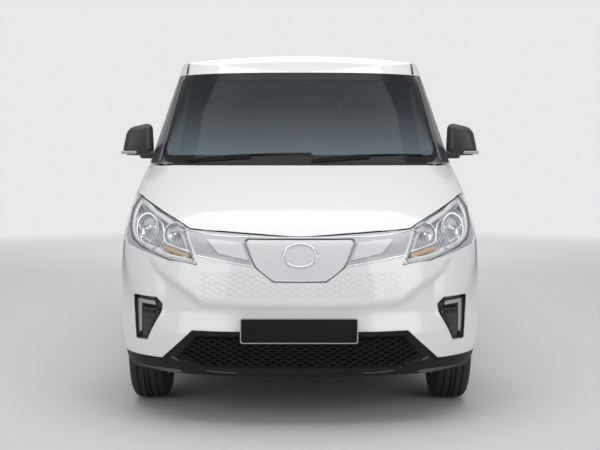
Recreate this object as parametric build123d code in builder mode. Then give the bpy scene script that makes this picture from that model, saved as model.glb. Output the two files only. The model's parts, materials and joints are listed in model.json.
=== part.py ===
"""Small electric panel van, front-wheel drive, with its steering wheel on the left.

Millimetres. The van faces -Y, +X is its left side and +Z is up. The origin is on the ground under the
middle of the body. Body panels are layers of one flat-faceted shell through plan outlines at rising heights.
"""
from build123d import *
import math
import os

# Driving dimensions
LENGTH = 4555
WIDTH = 1780
HEIGHT = 1895
FRONT_OVERHANG = 740
REAR_OVERHANG = 905
TRACK = 1534
TYRE_RADIUS = 311
TYRE_WIDTH = 185
RIM_RADIUS = 190.5
ARCH_RADIUS = 350

# Thicknesses and clearances
WALL = 57
ROOF_THICKNESS = 45
SKIN = 28
FLANGE = 12
GLASS = 6
LENS = 4
FIT = 0.3
INNER_FIT = 0.5
GAP = 7
BONNET_GAP = 7
FLAP_GAP = 7
STEP = 16

# Heights
BODY_BOTTOM = 235
SILL_TOP = 330
BELT = 1215
CAB_FLOOR = 480
LOAD_FLOOR = 540
FLOOR_BOTTOM = 440
BULKHEAD_WALL = 25
HEADER = HEIGHT - 150
DOOR_TOP = HEIGHT - 150
REAR_DOOR_TOP = HEIGHT - 98
BONNET_TOP = BELT - 8
BUMPER_TOP = 560
BUMPER_BOTTOM = 300

# Places along the van
HALF_WIDTH = WIDTH / 2
FRONT = -LENGTH / 2
REAR = LENGTH / 2
BUMPER_REACH = 55
BODY_REAR = REAR - BUMPER_REACH
FRONT_AXLE = FRONT + FRONT_OVERHANG
REAR_AXLE = REAR - REAR_OVERHANG
DOOR_FRONT = FRONT_AXLE + 427
DOOR_LENGTH = 980
DOOR_REAR = DOOR_FRONT + DOOR_LENGTH
BULKHEAD = DOOR_REAR + 90
SLIDE_FRONT = DOOR_REAR + 60
SLIDE_LENGTH = 830
SLIDE_REAR = SLIDE_FRONT + SLIDE_LENGTH
FENDER_FRONT = FRONT_AXLE - 310
BUMPER_FRONT_END = REAR_AXLE + 430
BONNET_HINGE_Y = FRONT + 1090

# Places across the van
BELT_HALF = HALF_WIDTH - 45
ROOF_HALF = HALF_WIDTH - 206
REAR_DOOR_HALF = HALF_WIDTH - 190
SIDE_FROM = ROOF_HALF
FAR = HALF_WIDTH + 150

# Body surface: height, how far the nose stands back, how far the side stands in
STATIONS = [
    (BODY_BOTTOM, 45, 40),
    (300, 18, 20),
    (400, 3, 5),
    (500, 0, 0),
    (600, 8, 0),
    (700, 24, 0),
    (790, 48, 2),
    (845, 72, 4),
    (885, 104, 6),
    (925, 152, 9),
    (985, 246, 13),
    (1060, 392, 20),
    (1140, 570, 33),
    (BELT, 755, 45),
]
NOSE_POWER = 2.3
NOSE_DEPTH = 520
NOSE_POINTS = 12
REAR_CORNER = 75
CORNER_POINTS = 4
SCREEN_SETBACK = STATIONS[-1][1]
SCREEN_RAKE = 1.27
TUMBLEHOME = 0.1913
REAR_LEAN = 0.066
LOFT_TOP = HEIGHT + 105
ROOF_DROP = 150
ROOF_RUN = 235
ROOF_DROOP = 14
ROOF_CROWN = 5850
ROOF_RUNS = (-1600, -900, -450, -250, -130, -50, 0, 40, 85, 135, 195, 265, 350, 460, 620, 900, 1400, 1850, 2300,
             2750, 3200)
CROWN_SHARES = (0.12, 0.36, 0.6, 0.82, 1)
SHOULDER_POINTS = 8
ENVELOPE_FOOT = BODY_BOTTOM - 50


def block(low, high):
    """Box between two opposite corners."""
    size = [b - a for a, b in zip(low, high)]
    middle = [(a + b) / 2 for a, b in zip(low, high)]
    with BuildPart() as box:
        with Locations(tuple(middle)):
            Box(*size)
    return box.part


def side_block(points, x_from, x_to, radius=0, grow=0):
    """Block that has an outline in the side view, given as (y, z)."""
    with BuildPart() as zone:
        with BuildSketch(Plane.YZ.offset(x_from)) as outline:
            with BuildLine():
                Polyline(*points, close=True)
            make_face()
            if radius:
                fillet(outline.vertices(), radius)
            if grow:
                offset(amount=grow)
        extrude(amount=x_to - x_from)
    return zone.part


def front_block(points, y_from, y_to, radius=0, grow=0):
    """Block that has an outline in the front view, given as (x, z)."""
    with BuildPart() as zone:
        with BuildSketch(Plane.XZ.offset(-y_to)) as outline:
            with BuildLine():
                Polyline(*points, close=True)
            make_face()
            if radius:
                fillet(outline.vertices(), radius)
            if grow:
                offset(amount=grow)
        extrude(amount=y_to - y_from)
    return zone.part


def rod(start, end, radius):
    """Round bar from one point to another."""
    run = Vector(*end) - Vector(*start)
    with BuildPart() as bar:
        with BuildSketch(Plane(origin=start, z_dir=tuple(run))):
            Circle(radius)
        extrude(amount=run.length)
    return bar.part


def faceted(rings):
    """Solid with flat faces between rings of points; matching edges of two rings are parallel."""
    faces = [Face(Wire.make_polygon(ring, close=True)) for ring in (rings[0], rings[-1])]
    for near, far in zip(rings, rings[1:]):
        for i in range(len(near)):
            j = (i + 1) % len(near)
            faces.append(Face(Wire.make_polygon([near[i], near[j], far[j], far[i]], close=True)))
    return Solid(Shell(faces))


def waterline(height, setback, half, rear, corner):
    """Plan outline of the body at one height: a bowed nose, straight sides and rounded rear corners."""
    points = []
    for i in range(-NOSE_POINTS, NOSE_POINTS + 1):
        angle = math.radians(90 * abs(i) / NOSE_POINTS)
        across = math.copysign(math.sin(angle) ** (2 / NOSE_POWER), i) if i else 0
        back = 1 - max(math.cos(angle), 0) ** (2 / NOSE_POWER)
        points.append((half * across, FRONT + setback + NOSE_DEPTH * half / HALF_WIDTH * back, height))
    turns = [math.radians(90 * i / CORNER_POINTS) for i in range(CORNER_POINTS + 1)]
    points += [(half - corner + corner * math.cos(turn), rear - corner + corner * math.sin(turn), height)
               for turn in turns]
    points += [(-half + corner - corner * math.sin(turn), rear - corner + corner * math.cos(turn), height)
               for turn in turns]
    return points


def station_slope(index):
    """How far the nose goes back for each millimetre of height, at one station."""
    if index == len(STATIONS) - 1:
        return SCREEN_RAKE
    low = STATIONS[max(index - 1, 0)]
    high = STATIONS[index + 1]
    return (high[1] - low[1]) / (high[0] - low[0])


def lower_rings(inset):
    """Plan outlines of the body below the belt, with the surface moved inwards by the inset."""
    rings = []
    for index, (height, setback, side) in enumerate(STATIONS):
        back = setback + inset * math.hypot(1, station_slope(index))
        rings.append(waterline(height, back, HALF_WIDTH - side - inset, BODY_REAR - inset, REAR_CORNER - inset))
    return rings


def lower_body(inset):
    """Body below the belt line, with its whole surface moved inwards by the inset."""
    return faceted(lower_rings(inset))


def screen_y(height):
    """Where the windscreen's middle line is at a height above the belt."""
    return FRONT + SCREEN_SETBACK + (height - BELT) * SCREEN_RAKE


def side_x(height):
    """Half-width of the body at a height above the belt."""
    return BELT_HALF - (height - BELT) * TUMBLEHOME


def roof_height(run):
    """Height of the roof's middle line, at a distance behind the header."""
    if run < 0:
        return HEADER - ROOF_DROP * (1 - math.exp(run / ROOF_RUN))
    droop = ROOF_DROOP * (max(run - 6 * ROOF_RUN, 0) / (7 * ROOF_RUN)) ** 2
    return HEIGHT - ROOF_DROP * math.exp(-run / ROOF_RUN) - droop


def roof_outline(inset, drop):
    """Half of the roof's outline in the front view: a crown, a rolled shoulder and a straight side."""
    top = HEIGHT - drop
    crown_end = side_x(top - 41) - inset - 36
    points = [(crown_end * share, top - (crown_end * share) ** 2 / (2 * ROOF_CROWN)) for share in CROWN_SHARES]
    start = Vector(*points[-1])
    inward = Vector(-crown_end / ROOF_CROWN, -1).normalized()
    reach = Vector(side_x(top - 115) - inset + 7, top - 115) - start
    radius = reach.length ** 2 / (2 * reach.dot(inward))
    centre = start + inward * radius
    first = math.atan2(-inward.Y, -inward.X)
    last = math.atan2((start + reach - centre).Y, (start + reach - centre).X)
    for i in range(1, SHOULDER_POINTS + 1):
        angle = first + (last - first) * i / SHOULDER_POINTS
        points.append((centre.X + radius * math.cos(angle), centre.Y + radius * math.sin(angle)))
    return points


def roof_envelope(inset, drop):
    """Everything under the roof surface, which is crowned and rolls over into the sides."""
    rings = []
    for run in ROOF_RUNS:
        fall = HEIGHT - roof_height(run)
        y = screen_y(HEADER) + run
        half = [(x + fall * TUMBLEHOME, z - fall) for x, z in roof_outline(inset, drop)]
        depth = half[-1][1] - ENVELOPE_FOOT
        half.append((half[-1][0] + depth * (TUMBLEHOME + 0.08), ENVELOPE_FOOT))
        rings.append([(x, y, z) for x, z in half] + [(-x, y, z) for x, z in reversed(half)])
    return faceted(rings)


def whole_body(inset, drop):
    """Whole body, with its surface moved inwards by the inset and its roof down by the drop."""
    rise = LOFT_TOP - BELT
    back = SCREEN_SETBACK + rise * SCREEN_RAKE + inset * math.hypot(1, SCREEN_RAKE)
    top = waterline(LOFT_TOP, back, side_x(LOFT_TOP) - inset, BODY_REAR - rise * REAR_LEAN - inset,
                    REAR_CORNER - inset)
    return faceted(lower_rings(inset) + [top]) & roof_envelope(inset, drop)


def without(zone, cutters):
    """A zone with the room for its neighbours taken out."""
    for cutter in cutters:
        zone = zone - cutter
    return zone


def panel(zone, *cutters):
    """Part of the body wall that lies in a zone."""
    return (without(zone, cutters) & BODY[0]) - BODY[WALL]


def nose_panel(zone, outer, inner, *cutters):
    """Part of a layer of the body below the belt that lies in a zone."""
    return (without(zone, cutters) & LOWER[outer]) - LOWER[inner]


# The insets at which the shell's surface is needed
LENS_BACK = LENS + FIT
WELL_FRONT = FLANGE + FIT
PAD_GAP = SKIN + FIT
LINING = WALL + INNER_FIT
FLAP_SKIN = 7
FLAP_BACK = FLAP_SKIN + FIT
CHANNEL_DEPTH = 10
DOOR_CLEAR = WALL + 7
LOWER = {inset: lower_body(inset) for inset in (0, LENS, LENS_BACK, FLAP_SKIN, FLAP_BACK, FLANGE, WELL_FRONT,
                                               SKIN, PAD_GAP, WALL)}
BODY = {inset: whole_body(inset, drop) for inset, drop in
        ((0, 0), (GLASS, GLASS), (CHANNEL_DEPTH, CHANNEL_DEPTH), (DOOR_CLEAR, ROOF_THICKNESS),
         (WALL, ROOF_THICKNESS), (LINING, ROOF_THICKNESS + INNER_FIT))}

# Shared outlines
ABOVE = HEIGHT + 200
BONNET_FRONT = [(-900, 1062), (-826, 1062), (-549, 932), (-521, 915), (0, 882), (521, 915), (549, 932),
                (826, 1062), (900, 1062), (900, 1300), (-900, 1300)]
BONNET_SIDE = [(FRONT - 50, 848), (FRONT + 717, 1030), (FRONT + 777, 1062), (BONNET_HINGE_Y - 3, 1165),
               (BONNET_HINGE_Y - 3, 1300), (FRONT - 50, 1300)]
LAMP_FRONT = [(478, 751), (662, 779), (811, 822), (1000, 882), (1000, 1100), (560, 1100), (542, 919)]
LAMP_SIDE = [(FRONT - 20, 700), (FRONT + 97, 740), (FRONT + 297, 790), (FRONT + 477, 872),
             (FRONT + 657, 980), (FRONT + 777, 1062), (FRONT + 777, 1100), (FRONT - 20, 1100)]
GRILLE = [(-478, 788), (-215, 744), (215, 744), (478, 788), (560, 960), (-560, 960)]
FLAP = [(-252, 866), (-200, 745), (-120, 684), (120, 684), (200, 745), (252, 866)]
FLAP_ROOM = [(-257, 866), (-200, 745), (-120, 684), (120, 684), (200, 745), (257, 866)]
INTAKE = [(-500, 451), (500, 451), (648, 311), (960, 311), (960, 200), (-960, 200), (-960, 311), (-648, 311)]
POCKET = [(793, 600), (682, 595), (653, 564), (657, 529), (722, 389), (782, 388)]
SCREEN_BASE = BELT + 5
SCREEN_TOP = HEADER - 9
SCREEN = [(-757, SCREEN_BASE), (757, SCREEN_BASE), (700, SCREEN_TOP), (-700, SCREEN_TOP)]
DOOR_LINE = (DOOR_FRONT - 40, BELT - 25)
DOOR_BOTTOM = SILL_TOP + GAP
DOOR = [(DOOR_FRONT, DOOR_BOTTOM), DOOR_LINE, (DOOR_LINE[0] + (DOOR_TOP - DOOR_LINE[1]) * 1.063, DOOR_TOP),
        (DOOR_REAR, DOOR_TOP), (DOOR_REAR, DOOR_BOTTOM)]
WINDOW_BOTTOM = BELT - 60
WINDOW_TOP = DOOR_TOP - 58
WINDOW_FRONT = DOOR_FRONT + 105
WINDOW = [(WINDOW_FRONT, WINDOW_BOTTOM), (WINDOW_FRONT + 0.95 * (WINDOW_TOP - WINDOW_BOTTOM), WINDOW_TOP),
          (DOOR_REAR - 75, WINDOW_TOP), (DOOR_REAR - 75, WINDOW_BOTTOM)]
SLIDE = [(SLIDE_FRONT, DOOR_BOTTOM), (SLIDE_FRONT, DOOR_TOP), (SLIDE_REAR, DOOR_TOP),
         (SLIDE_REAR, DOOR_BOTTOM)]
TAIL_LAMP_BOTTOM = 800
TAIL_LAMP_TOP = BELT - 25


def arches():
    """Round openings over the four wheels."""
    with BuildPart() as openings:
        for axle in (FRONT_AXLE, REAR_AXLE):
            add(rod((-FAR, axle, TYRE_RADIUS), (FAR, axle, TYRE_RADIUS), ARCH_RADIUS))
    return openings.part


ARCHES = arches()
BONNET_ZONE = front_block(BONNET_FRONT, FRONT - 50, 0) & side_block(BONNET_SIDE, -FAR, FAR)
BONNET_CLEAR = (front_block(BONNET_FRONT, FRONT - 50, 0, grow=BONNET_GAP)
                & side_block(BONNET_SIDE, -FAR, FAR, grow=BONNET_GAP))
LAMP_ZONE = front_block(LAMP_FRONT, FRONT - 50, FRONT + 800) & side_block(LAMP_SIDE, 0, FAR)
LAMP_ZONES = LAMP_ZONE + mirror(LAMP_ZONE, about=Plane.YZ)
FLAP_CLEAR = front_block(FLAP_ROOM, FRONT - 50, FRONT + 250, radius=12, grow=FLAP_GAP)
GRILLE_ZONE = front_block(GRILLE, FRONT - 50, FRONT + 400)
INTAKE_ZONE = front_block(INTAKE, FRONT - 50, FENDER_FRONT, radius=8)
POCKET_ZONE = front_block(POCKET, FRONT - 50, FENDER_FRONT, radius=8)
POCKET_ZONES = POCKET_ZONE + mirror(POCKET_ZONE, about=Plane.YZ)
SCREEN_OPENING = front_block(SCREEN, FRONT, screen_y(HEADER) + 280, radius=60, grow=FIT)
REAR_OPENING = block((-REAR_DOOR_HALF - 3.5, BODY_REAR - 160, BUMPER_TOP),
                     (REAR_DOOR_HALF + 3.5, REAR, REAR_DOOR_TOP + GAP))
BUMPER_ZONE = block((-FAR, BUMPER_FRONT_END, BUMPER_BOTTOM - 100), (FAR, REAR + 10, BUMPER_TOP))
LAMP_CUT = block((REAR_DOOR_HALF + GAP, BODY_REAR - 120, TAIL_LAMP_BOTTOM), (FAR, REAR, TAIL_LAMP_TOP))
TAIL_ZONES = LAMP_CUT + mirror(LAMP_CUT, about=Plane.YZ)



def pane(depth, thickness, margin):
    """Flat slab that follows the straight upper side of the body, at a depth under its surface."""
    low = WINDOW_BOTTOM - margin
    high = WINDOW_TOP + margin
    outline = [(side_x(low) - depth, low), (side_x(high) - depth, high),
               (side_x(high) - depth - thickness, high), (side_x(low) - depth - thickness, low)]
    return front_block(outline, DOOR_FRONT, DOOR_REAR) & side_block(WINDOW, 500, FAR, radius=40, grow=margin)


os.makedirs("parts", exist_ok=True)


def save(piece, name):
    """Name one finished piece and write it."""
    piece.label = name
    export_step(piece, f"parts/{name}.step")


def save_pair(piece, name):
    """Write a left-hand piece and its mirror image on the right."""
    save(piece, f"{name}_left")
    save(mirror(piece, about=Plane.YZ), f"{name}_right")


# Roof: the panel between the two side roof channels, with the header over the windscreen
PAD_X = 600
PAD_FRONT = DOOR_REAR + 230
PAD_PITCH = 1200
PAD_TOP = HEIGHT - 31
RACK_HOLE = 4
CHANNEL = block((ROOF_HALF - 14, screen_y(HEADER) + 90, HEADER), (ROOF_HALF, BODY_REAR - 90, ABOVE))
CHANNELS = CHANNEL + mirror(CHANNEL, about=Plane.YZ)
with BuildPart() as roof_panel:
    add(panel(block((-ROOF_HALF, FRONT, DOOR_TOP - 5), (ROOF_HALF, REAR, ABOVE)), SCREEN_OPENING, REAR_OPENING))
    add(CHANNELS - BODY[CHANNEL_DEPTH], mode=Mode.SUBTRACT)
    with Locations(*[(side * PAD_X, PAD_FRONT + step, PAD_TOP - 12)
                     for side in (-1, 1) for step in (0, PAD_PITCH)]):
        Cylinder(22, 24)
    with Locations(*[(side * PAD_X, PAD_FRONT + step, PAD_TOP)
                     for side in (-1, 1) for step in (0, PAD_PITCH)]):
        Hole(RACK_HOLE, depth=30)
save(roof_panel.part, "roof_panel")


def bowed_block(setback, low, high):
    """Block whose front is bowed in plan like the foot of the windscreen."""
    return faceted([waterline(height, setback, BELT_HALF, BODY_REAR, 50) for height in (low, high)])


# Cowl: the strip between the bonnet and the windscreen, with the lower windscreen flange
BONNET_END = SCREEN_SETBACK - 20
COWL_HALF = HALF_WIDTH - 110
SEAM = BELT + 2
with BuildPart() as cowl_panel:
    add(bowed_block(BONNET_END + BONNET_GAP, BELT - 65, BELT - 6))
    add(bowed_block(BONNET_END + 95, BELT - 70, BELT), mode=Mode.SUBTRACT)
    add(block((-COWL_HALF, FRONT, 0), (COWL_HALF, DOOR_FRONT - 60, BELT)), mode=Mode.INTERSECT)
    add(panel(block((-SIDE_FROM, FRONT, BELT - 6), (SIDE_FROM, DOOR_FRONT, BELT + 32)), SCREEN_OPENING))
save(cowl_panel.part, "cowl_panel")

# Body sides: pillars, cant rail and rear quarter on each side, standing on the fenders and sills
SIDE_OUTLINE = [(DOOR_FRONT + 60, SILL_TOP), (DOOR_FRONT + 60, SEAM), (FRONT, SEAM), (FRONT, ABOVE),
                (REAR, ABOVE), (REAR, SILL_TOP)]
DOOR_OPENING = side_block([(DOOR_FRONT, SILL_TOP - 20)] + DOOR[1:4] + [(DOOR_REAR, SILL_TOP - 20)], 500, FAR,
                          radius=25, grow=GAP)
SLIDE_OPENING = side_block([(SLIDE_FRONT, SILL_TOP - 20)] + SLIDE[1:3] + [(SLIDE_REAR, SILL_TOP - 20)], 500, FAR,
                           radius=30, grow=GAP)
SIDE_CUTTERS = [DOOR_OPENING, ARCHES, SCREEN_OPENING, REAR_OPENING, BUMPER_ZONE, LAMP_CUT]
SIDE_ZONE = side_block(SIDE_OUTLINE, SIDE_FROM, FAR)
with BuildPart() as body_side:
    add(panel(SIDE_ZONE, *SIDE_CUTTERS))
save(body_side.part, "body_side_left")
with BuildPart() as body_side_right:
    add(mirror(panel(SIDE_ZONE, *SIDE_CUTTERS, SLIDE_OPENING), about=Plane.YZ))
save(body_side_right.part, "body_side_right")

# Front fenders, from the bumper to the front doors, under the bonnet's side edges
FENDER = [(FENDER_FRONT, SILL_TOP), (FENDER_FRONT, 1100), (FRONT + 700, SEAM), (DOOR_FRONT + 60, SEAM),
          (DOOR_FRONT + 60, SILL_TOP)]
with BuildPart() as front_fender:
    add(panel(side_block(FENDER, 600, FAR), DOOR_OPENING, ARCHES, BONNET_CLEAR, LAMP_ZONE,
              block((600, FRONT, 1000), (COWL_HALF, DOOR_FRONT, ABOVE))))
with BuildPart() as front_fenders:
    add(front_fender.part)
    add(mirror(front_fender.part, about=Plane.YZ))
save(front_fenders.part, "front_fenders")

# Bonnet, resting on two rubber pads of the front frame
with BuildPart() as bonnet:
    add(nose_panel(BONNET_ZONE & block((-FAR, FRONT - 10, 800), (FAR, DOOR_FRONT, BONNET_TOP)), 0, SKIN,
                   bowed_block(BONNET_END, 1000, BELT)))
save(bonnet.part, "bonnet")

# Front bumper, grille panel, charging flap and lower intake, all layers of the nose
with BuildPart() as front_bumper:
    add(nose_panel(block((-FAR, FRONT - 10, 0), (FAR, FENDER_FRONT, 1062)), 0, SKIN,
                   ARCHES, BONNET_CLEAR, LAMP_ZONES, GRILLE_ZONE, FLAP_CLEAR, INTAKE_ZONE, POCKET_ZONES))
save(front_bumper.part, "front_bumper")
with BuildPart() as grille_panel:
    add(nose_panel(GRILLE_ZONE, 0, SKIN, BONNET_CLEAR, LAMP_ZONES, FLAP_CLEAR))
save(grille_panel.part, "grille_panel")
with BuildPart() as charge_flap:
    add(nose_panel(front_block(FLAP, FRONT - 50, FRONT + 400, radius=12), 0, FLAP_SKIN))
save(charge_flap.part, "charge_flap")
with BuildPart() as lower_grille:
    add(nose_panel(INTAKE_ZONE, 0, SKIN, ARCHES))
save(lower_grille.part, "lower_grille")
with BuildPart() as daylight_lamps:
    add(nose_panel(POCKET_ZONES, FLANGE, SKIN))
save(daylight_lamps.part, "daylight_lamps")

# Headlamps
with BuildPart() as headlamp_lenses:
    add(nose_panel(LAMP_ZONES, 0, LENS, BONNET_CLEAR))
save(headlamp_lenses.part, "headlamp_lenses")
with BuildPart() as headlamp_housings:
    add(nose_panel(LAMP_ZONES, LENS_BACK, WALL, BONNET_CLEAR))
save(headlamp_housings.part, "headlamp_housings")

# Windscreen
with BuildPart() as windscreen:
    add((front_block(SCREEN, FRONT, screen_y(HEADER) + 280, radius=60) & BODY[0]) - BODY[GLASS])
save(windscreen.part, "windscreen")

# Front doors, with hinge stubs towards the fender, a thinner rear edge and a slot for the glass
HINGE_HEIGHTS = (520, 960)
PANE_DEPTH = 12
PANE = 5
DOOR_STEP = front_block([(0, 300), (HALF_WIDTH - 30, 300), (HALF_WIDTH - 14, 450), (HALF_WIDTH - 14, 800),
                         (BELT_HALF - FLANGE, BELT), (side_x(DOOR_TOP) - FLANGE, DOOR_TOP + 1),
                         (0, DOOR_TOP + 1)], DOOR_REAR - STEP, DOOR_REAR + 1)
with BuildPart() as front_door:
    add(panel(side_block(DOOR, SIDE_FROM, FAR, radius=25), side_block(WINDOW, 500, FAR, radius=40),
              pane(PANE_DEPTH - FIT, PANE + 2 * FIT, 10 + FIT), DOOR_STEP))
    for height in HINGE_HEIGHTS:
        add(side_block(DOOR, HALF_WIDTH - 50, HALF_WIDTH - 32, radius=25, grow=GAP - FIT)
            & block((0, FRONT, height), (FAR, DOOR_FRONT + 40, height + 60)))
save_pair(front_door.part, "front_door")
with BuildPart() as door_glass:
    add(pane(PANE_DEPTH, PANE, 10))
save_pair(door_glass.part, "door_glass")

# Door mirrors: a head on a short arm at the front corner of each door window
MIRROR_OUT = HALF_WIDTH + 115
MIRROR_BACK = DOOR_FRONT + 106
MIRROR_HEAD = [(HALF_WIDTH - 58, BELT + 81), (HALF_WIDTH - 52, BELT + 205), (HALF_WIDTH - 22, BELT + 234),
               (HALF_WIDTH + 40, BELT + 234), (MIRROR_OUT - 20, BELT + 203), (MIRROR_OUT, BELT + 115),
               (MIRROR_OUT - 20, BELT + 75), (HALF_WIDTH - 10, BELT + 65)]
with BuildPart() as door_mirror:
    with BuildSketch(Plane.XZ.offset(-MIRROR_BACK)) as head_outline:
        with BuildLine():
            Polyline(*MIRROR_HEAD, close=True)
        make_face()
        fillet(head_outline.vertices(), 9)
    extrude(amount=95, taper=8)
    add(block((BELT_HALF - 70, MIRROR_BACK - 38, BELT + 25), (HALF_WIDTH + 10, MIRROR_BACK + 12, BELT + 70))
        - BODY[0])
save_pair(door_mirror.part, "mirror")

# Sliding side door on the right, with the roller blocks that hold it in its rails
with BuildPart() as sliding_door:
    add(panel(side_block(SLIDE, SIDE_FROM, FAR, radius=30)))
    for height, x in ((SILL_TOP + 60, HALF_WIDTH), (BELT - 80, BELT_HALF)):
        for middle in (SLIDE_FRONT, SLIDE_REAR):
            add(side_block(SLIDE, x - 40, x - 22, radius=30, grow=GAP - FIT)
                & block((0, middle - 40, height), (FAR, middle + 40, height + 50)))
save(mirror(sliding_door.part, about=Plane.YZ), "sliding_door")

# Rear doors, hung on outside hinges at the rear corners
REAR_DOOR_GAP = 5
REAR_DOOR = [(REAR_DOOR_GAP, BUMPER_TOP + GAP), (REAR_DOOR_HALF - 3.5, BUMPER_TOP + GAP),
             (REAR_DOOR_HALF - 3.5, REAR_DOOR_TOP), (REAR_DOOR_GAP, REAR_DOOR_TOP)]
REAR_HINGE_Y = BODY_REAR + 10
REAR_HINGE_HEIGHTS = (650, 1120)
HINGE_HEIGHT = 70
PIN = 9
with BuildPart() as rear_door:
    add(panel(front_block(REAR_DOOR, BODY_REAR - 120, REAR, radius=4),
              block((0, BODY_REAR - 160, BELT + 60), (REAR_DOOR_GAP + FLANGE, BODY_REAR - 62, ABOVE))))
    for height in REAR_HINGE_HEIGHTS:
        add(block((REAR_DOOR_HALF - 70, BODY_REAR - 4, height),
                  (REAR_DOOR_HALF - PIN - FIT, BODY_REAR + 12, height + HINGE_HEIGHT)))
save_pair(rear_door.part, "rear_door")

# Hinge pins of the rear doors, each on a leaf on the rear corner
with BuildPart() as rear_hinges:
    for side in (-1, 1):
        x = side * REAR_DOOR_HALF
        for height in REAR_HINGE_HEIGHTS:
            add(rod((x, REAR_HINGE_Y, height), (x, REAR_HINGE_Y, height + HINGE_HEIGHT), PIN))
            leaf = block((REAR_DOOR_HALF + 4, BODY_REAR, height),
                         (REAR_DOOR_HALF + 60, BODY_REAR + 4, height + HINGE_HEIGHT))
            add(leaf if side > 0 else mirror(leaf, about=Plane.YZ))
save(rear_hinges.part, "rear_hinges")

# Tail lamps, upright in the rear corners
with BuildPart() as tail_lamps:
    add(panel(TAIL_ZONES))
save(tail_lamps.part, "tail_lamps")

# Rear bumper, round the rear corners under the doors
with BuildPart() as rear_bumper:
    with BuildSketch(Plane.XY.offset(BUMPER_BOTTOM)):
        with BuildLine():
            FilletPolyline((-HALF_WIDTH + 2, BUMPER_FRONT_END), (-HALF_WIDTH + 2, REAR), (HALF_WIDTH - 2, REAR),
                           (HALF_WIDTH - 2, BUMPER_FRONT_END), radius=120)
            Line((HALF_WIDTH - 2, BUMPER_FRONT_END), (-HALF_WIDTH + 2, BUMPER_FRONT_END))
        make_face()
    extrude(amount=BUMPER_TOP - BUMPER_BOTTOM)
    add(block((-HALF_WIDTH + WALL, BUMPER_FRONT_END - 1, 0), (HALF_WIDTH - WALL, BODY_REAR - WALL, ABOVE)),
        mode=Mode.SUBTRACT)
save(rear_bumper.part, "rear_bumper")

# Side sills between the arches
with BuildPart() as side_sills:
    sill = panel(block((SIDE_FROM, FRONT_AXLE, BODY_BOTTOM - 1), (FAR, REAR_AXLE, SILL_TOP)), ARCHES)
    add(sill)
    add(mirror(sill, about=Plane.YZ))
save(side_sills.part, "side_sills")

# Floor: cab and load floors, firewall, wheel housings and strut towers
FIREWALL = FRONT_AXLE + 237
HOUSING = ARCH_RADIUS + 30
HOUSING_SHEET = 15
FRONT_HOUSING_IN = 471
REAR_HOUSING_IN = TRACK / 2 - 160
KINGPIN_LOW = (715, FRONT_AXLE, 190)
KINGPIN_TOP = (590, FRONT_AXLE, 860)


def along_kingpin(share):
    """Point on the left steering axis, from its ball joint to the strut top."""
    return tuple(low + share * (high - low) for low, high in zip(KINGPIN_LOW, KINGPIN_TOP))


def housing_room(axle, inner, grow=FIT):
    """Whole space of both wheel housings of an axle, grown for the panels that are cut round them."""
    with BuildPart() as room:
        for side in (-1, 1):
            add(rod((side * (inner - grow), axle, TYRE_RADIUS), (side * HALF_WIDTH, axle, TYRE_RADIUS),
                    HOUSING + HOUSING_SHEET + grow))
    return room.part


FRONT_ROOM = housing_room(FRONT_AXLE, FRONT_HOUSING_IN)
with BuildPart() as cab_floor:
    add(block((-HALF_WIDTH, FIREWALL, FLOOR_BOTTOM), (HALF_WIDTH, BULKHEAD, CAB_FLOOR)) & BODY[DOOR_CLEAR])
    add(FRONT_ROOM, mode=Mode.SUBTRACT)
save(cab_floor.part, "cab_floor")

with BuildPart() as firewall:
    add(block((-HALF_WIDTH, FIREWALL - 20, FLOOR_BOTTOM), (HALF_WIDTH, FIREWALL, BELT - 65)) & BODY[LINING])
    add(FRONT_ROOM, mode=Mode.SUBTRACT)
save(firewall.part, "firewall")

with BuildPart() as load_floor:
    add(block((-HALF_WIDTH, BULKHEAD + BULKHEAD_WALL, FLOOR_BOTTOM), (HALF_WIDTH, REAR, LOAD_FLOOR))
        & BODY[LINING])
    add(housing_room(REAR_AXLE, REAR_HOUSING_IN), mode=Mode.SUBTRACT)
save(load_floor.part, "load_floor")


def housings(axle, inner, towers):
    """Sheet housings over both wheels of an axle, with the strut towers on the front pair."""
    with BuildPart() as shells:
        top = block((-HALF_WIDTH, axle - 500, FLOOR_BOTTOM), (HALF_WIDTH, axle + 500, ABOVE))
        add(housing_room(axle, inner, grow=0) & top & BODY[LINING])
        for side in (-1, 1):
            if towers:
                low, cap, end = [(side * x, y, z) for x, y, z in map(along_kingpin, (0.68, 1.0, 1.02))]
                add(rod(low, cap, 106))
                add(rod(cap, end, 106))
                add(rod(low, cap, 92), mode=Mode.SUBTRACT)
            add(rod((side * (inner + HOUSING_SHEET), axle, TYRE_RADIUS), (side * FAR, axle, TYRE_RADIUS), HOUSING),
                mode=Mode.SUBTRACT)
    return shells.part


save(housings(FRONT_AXLE, FRONT_HOUSING_IN, True), "front_housings")
save(housings(REAR_AXLE, REAR_HOUSING_IN, False), "rear_housings")

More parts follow.
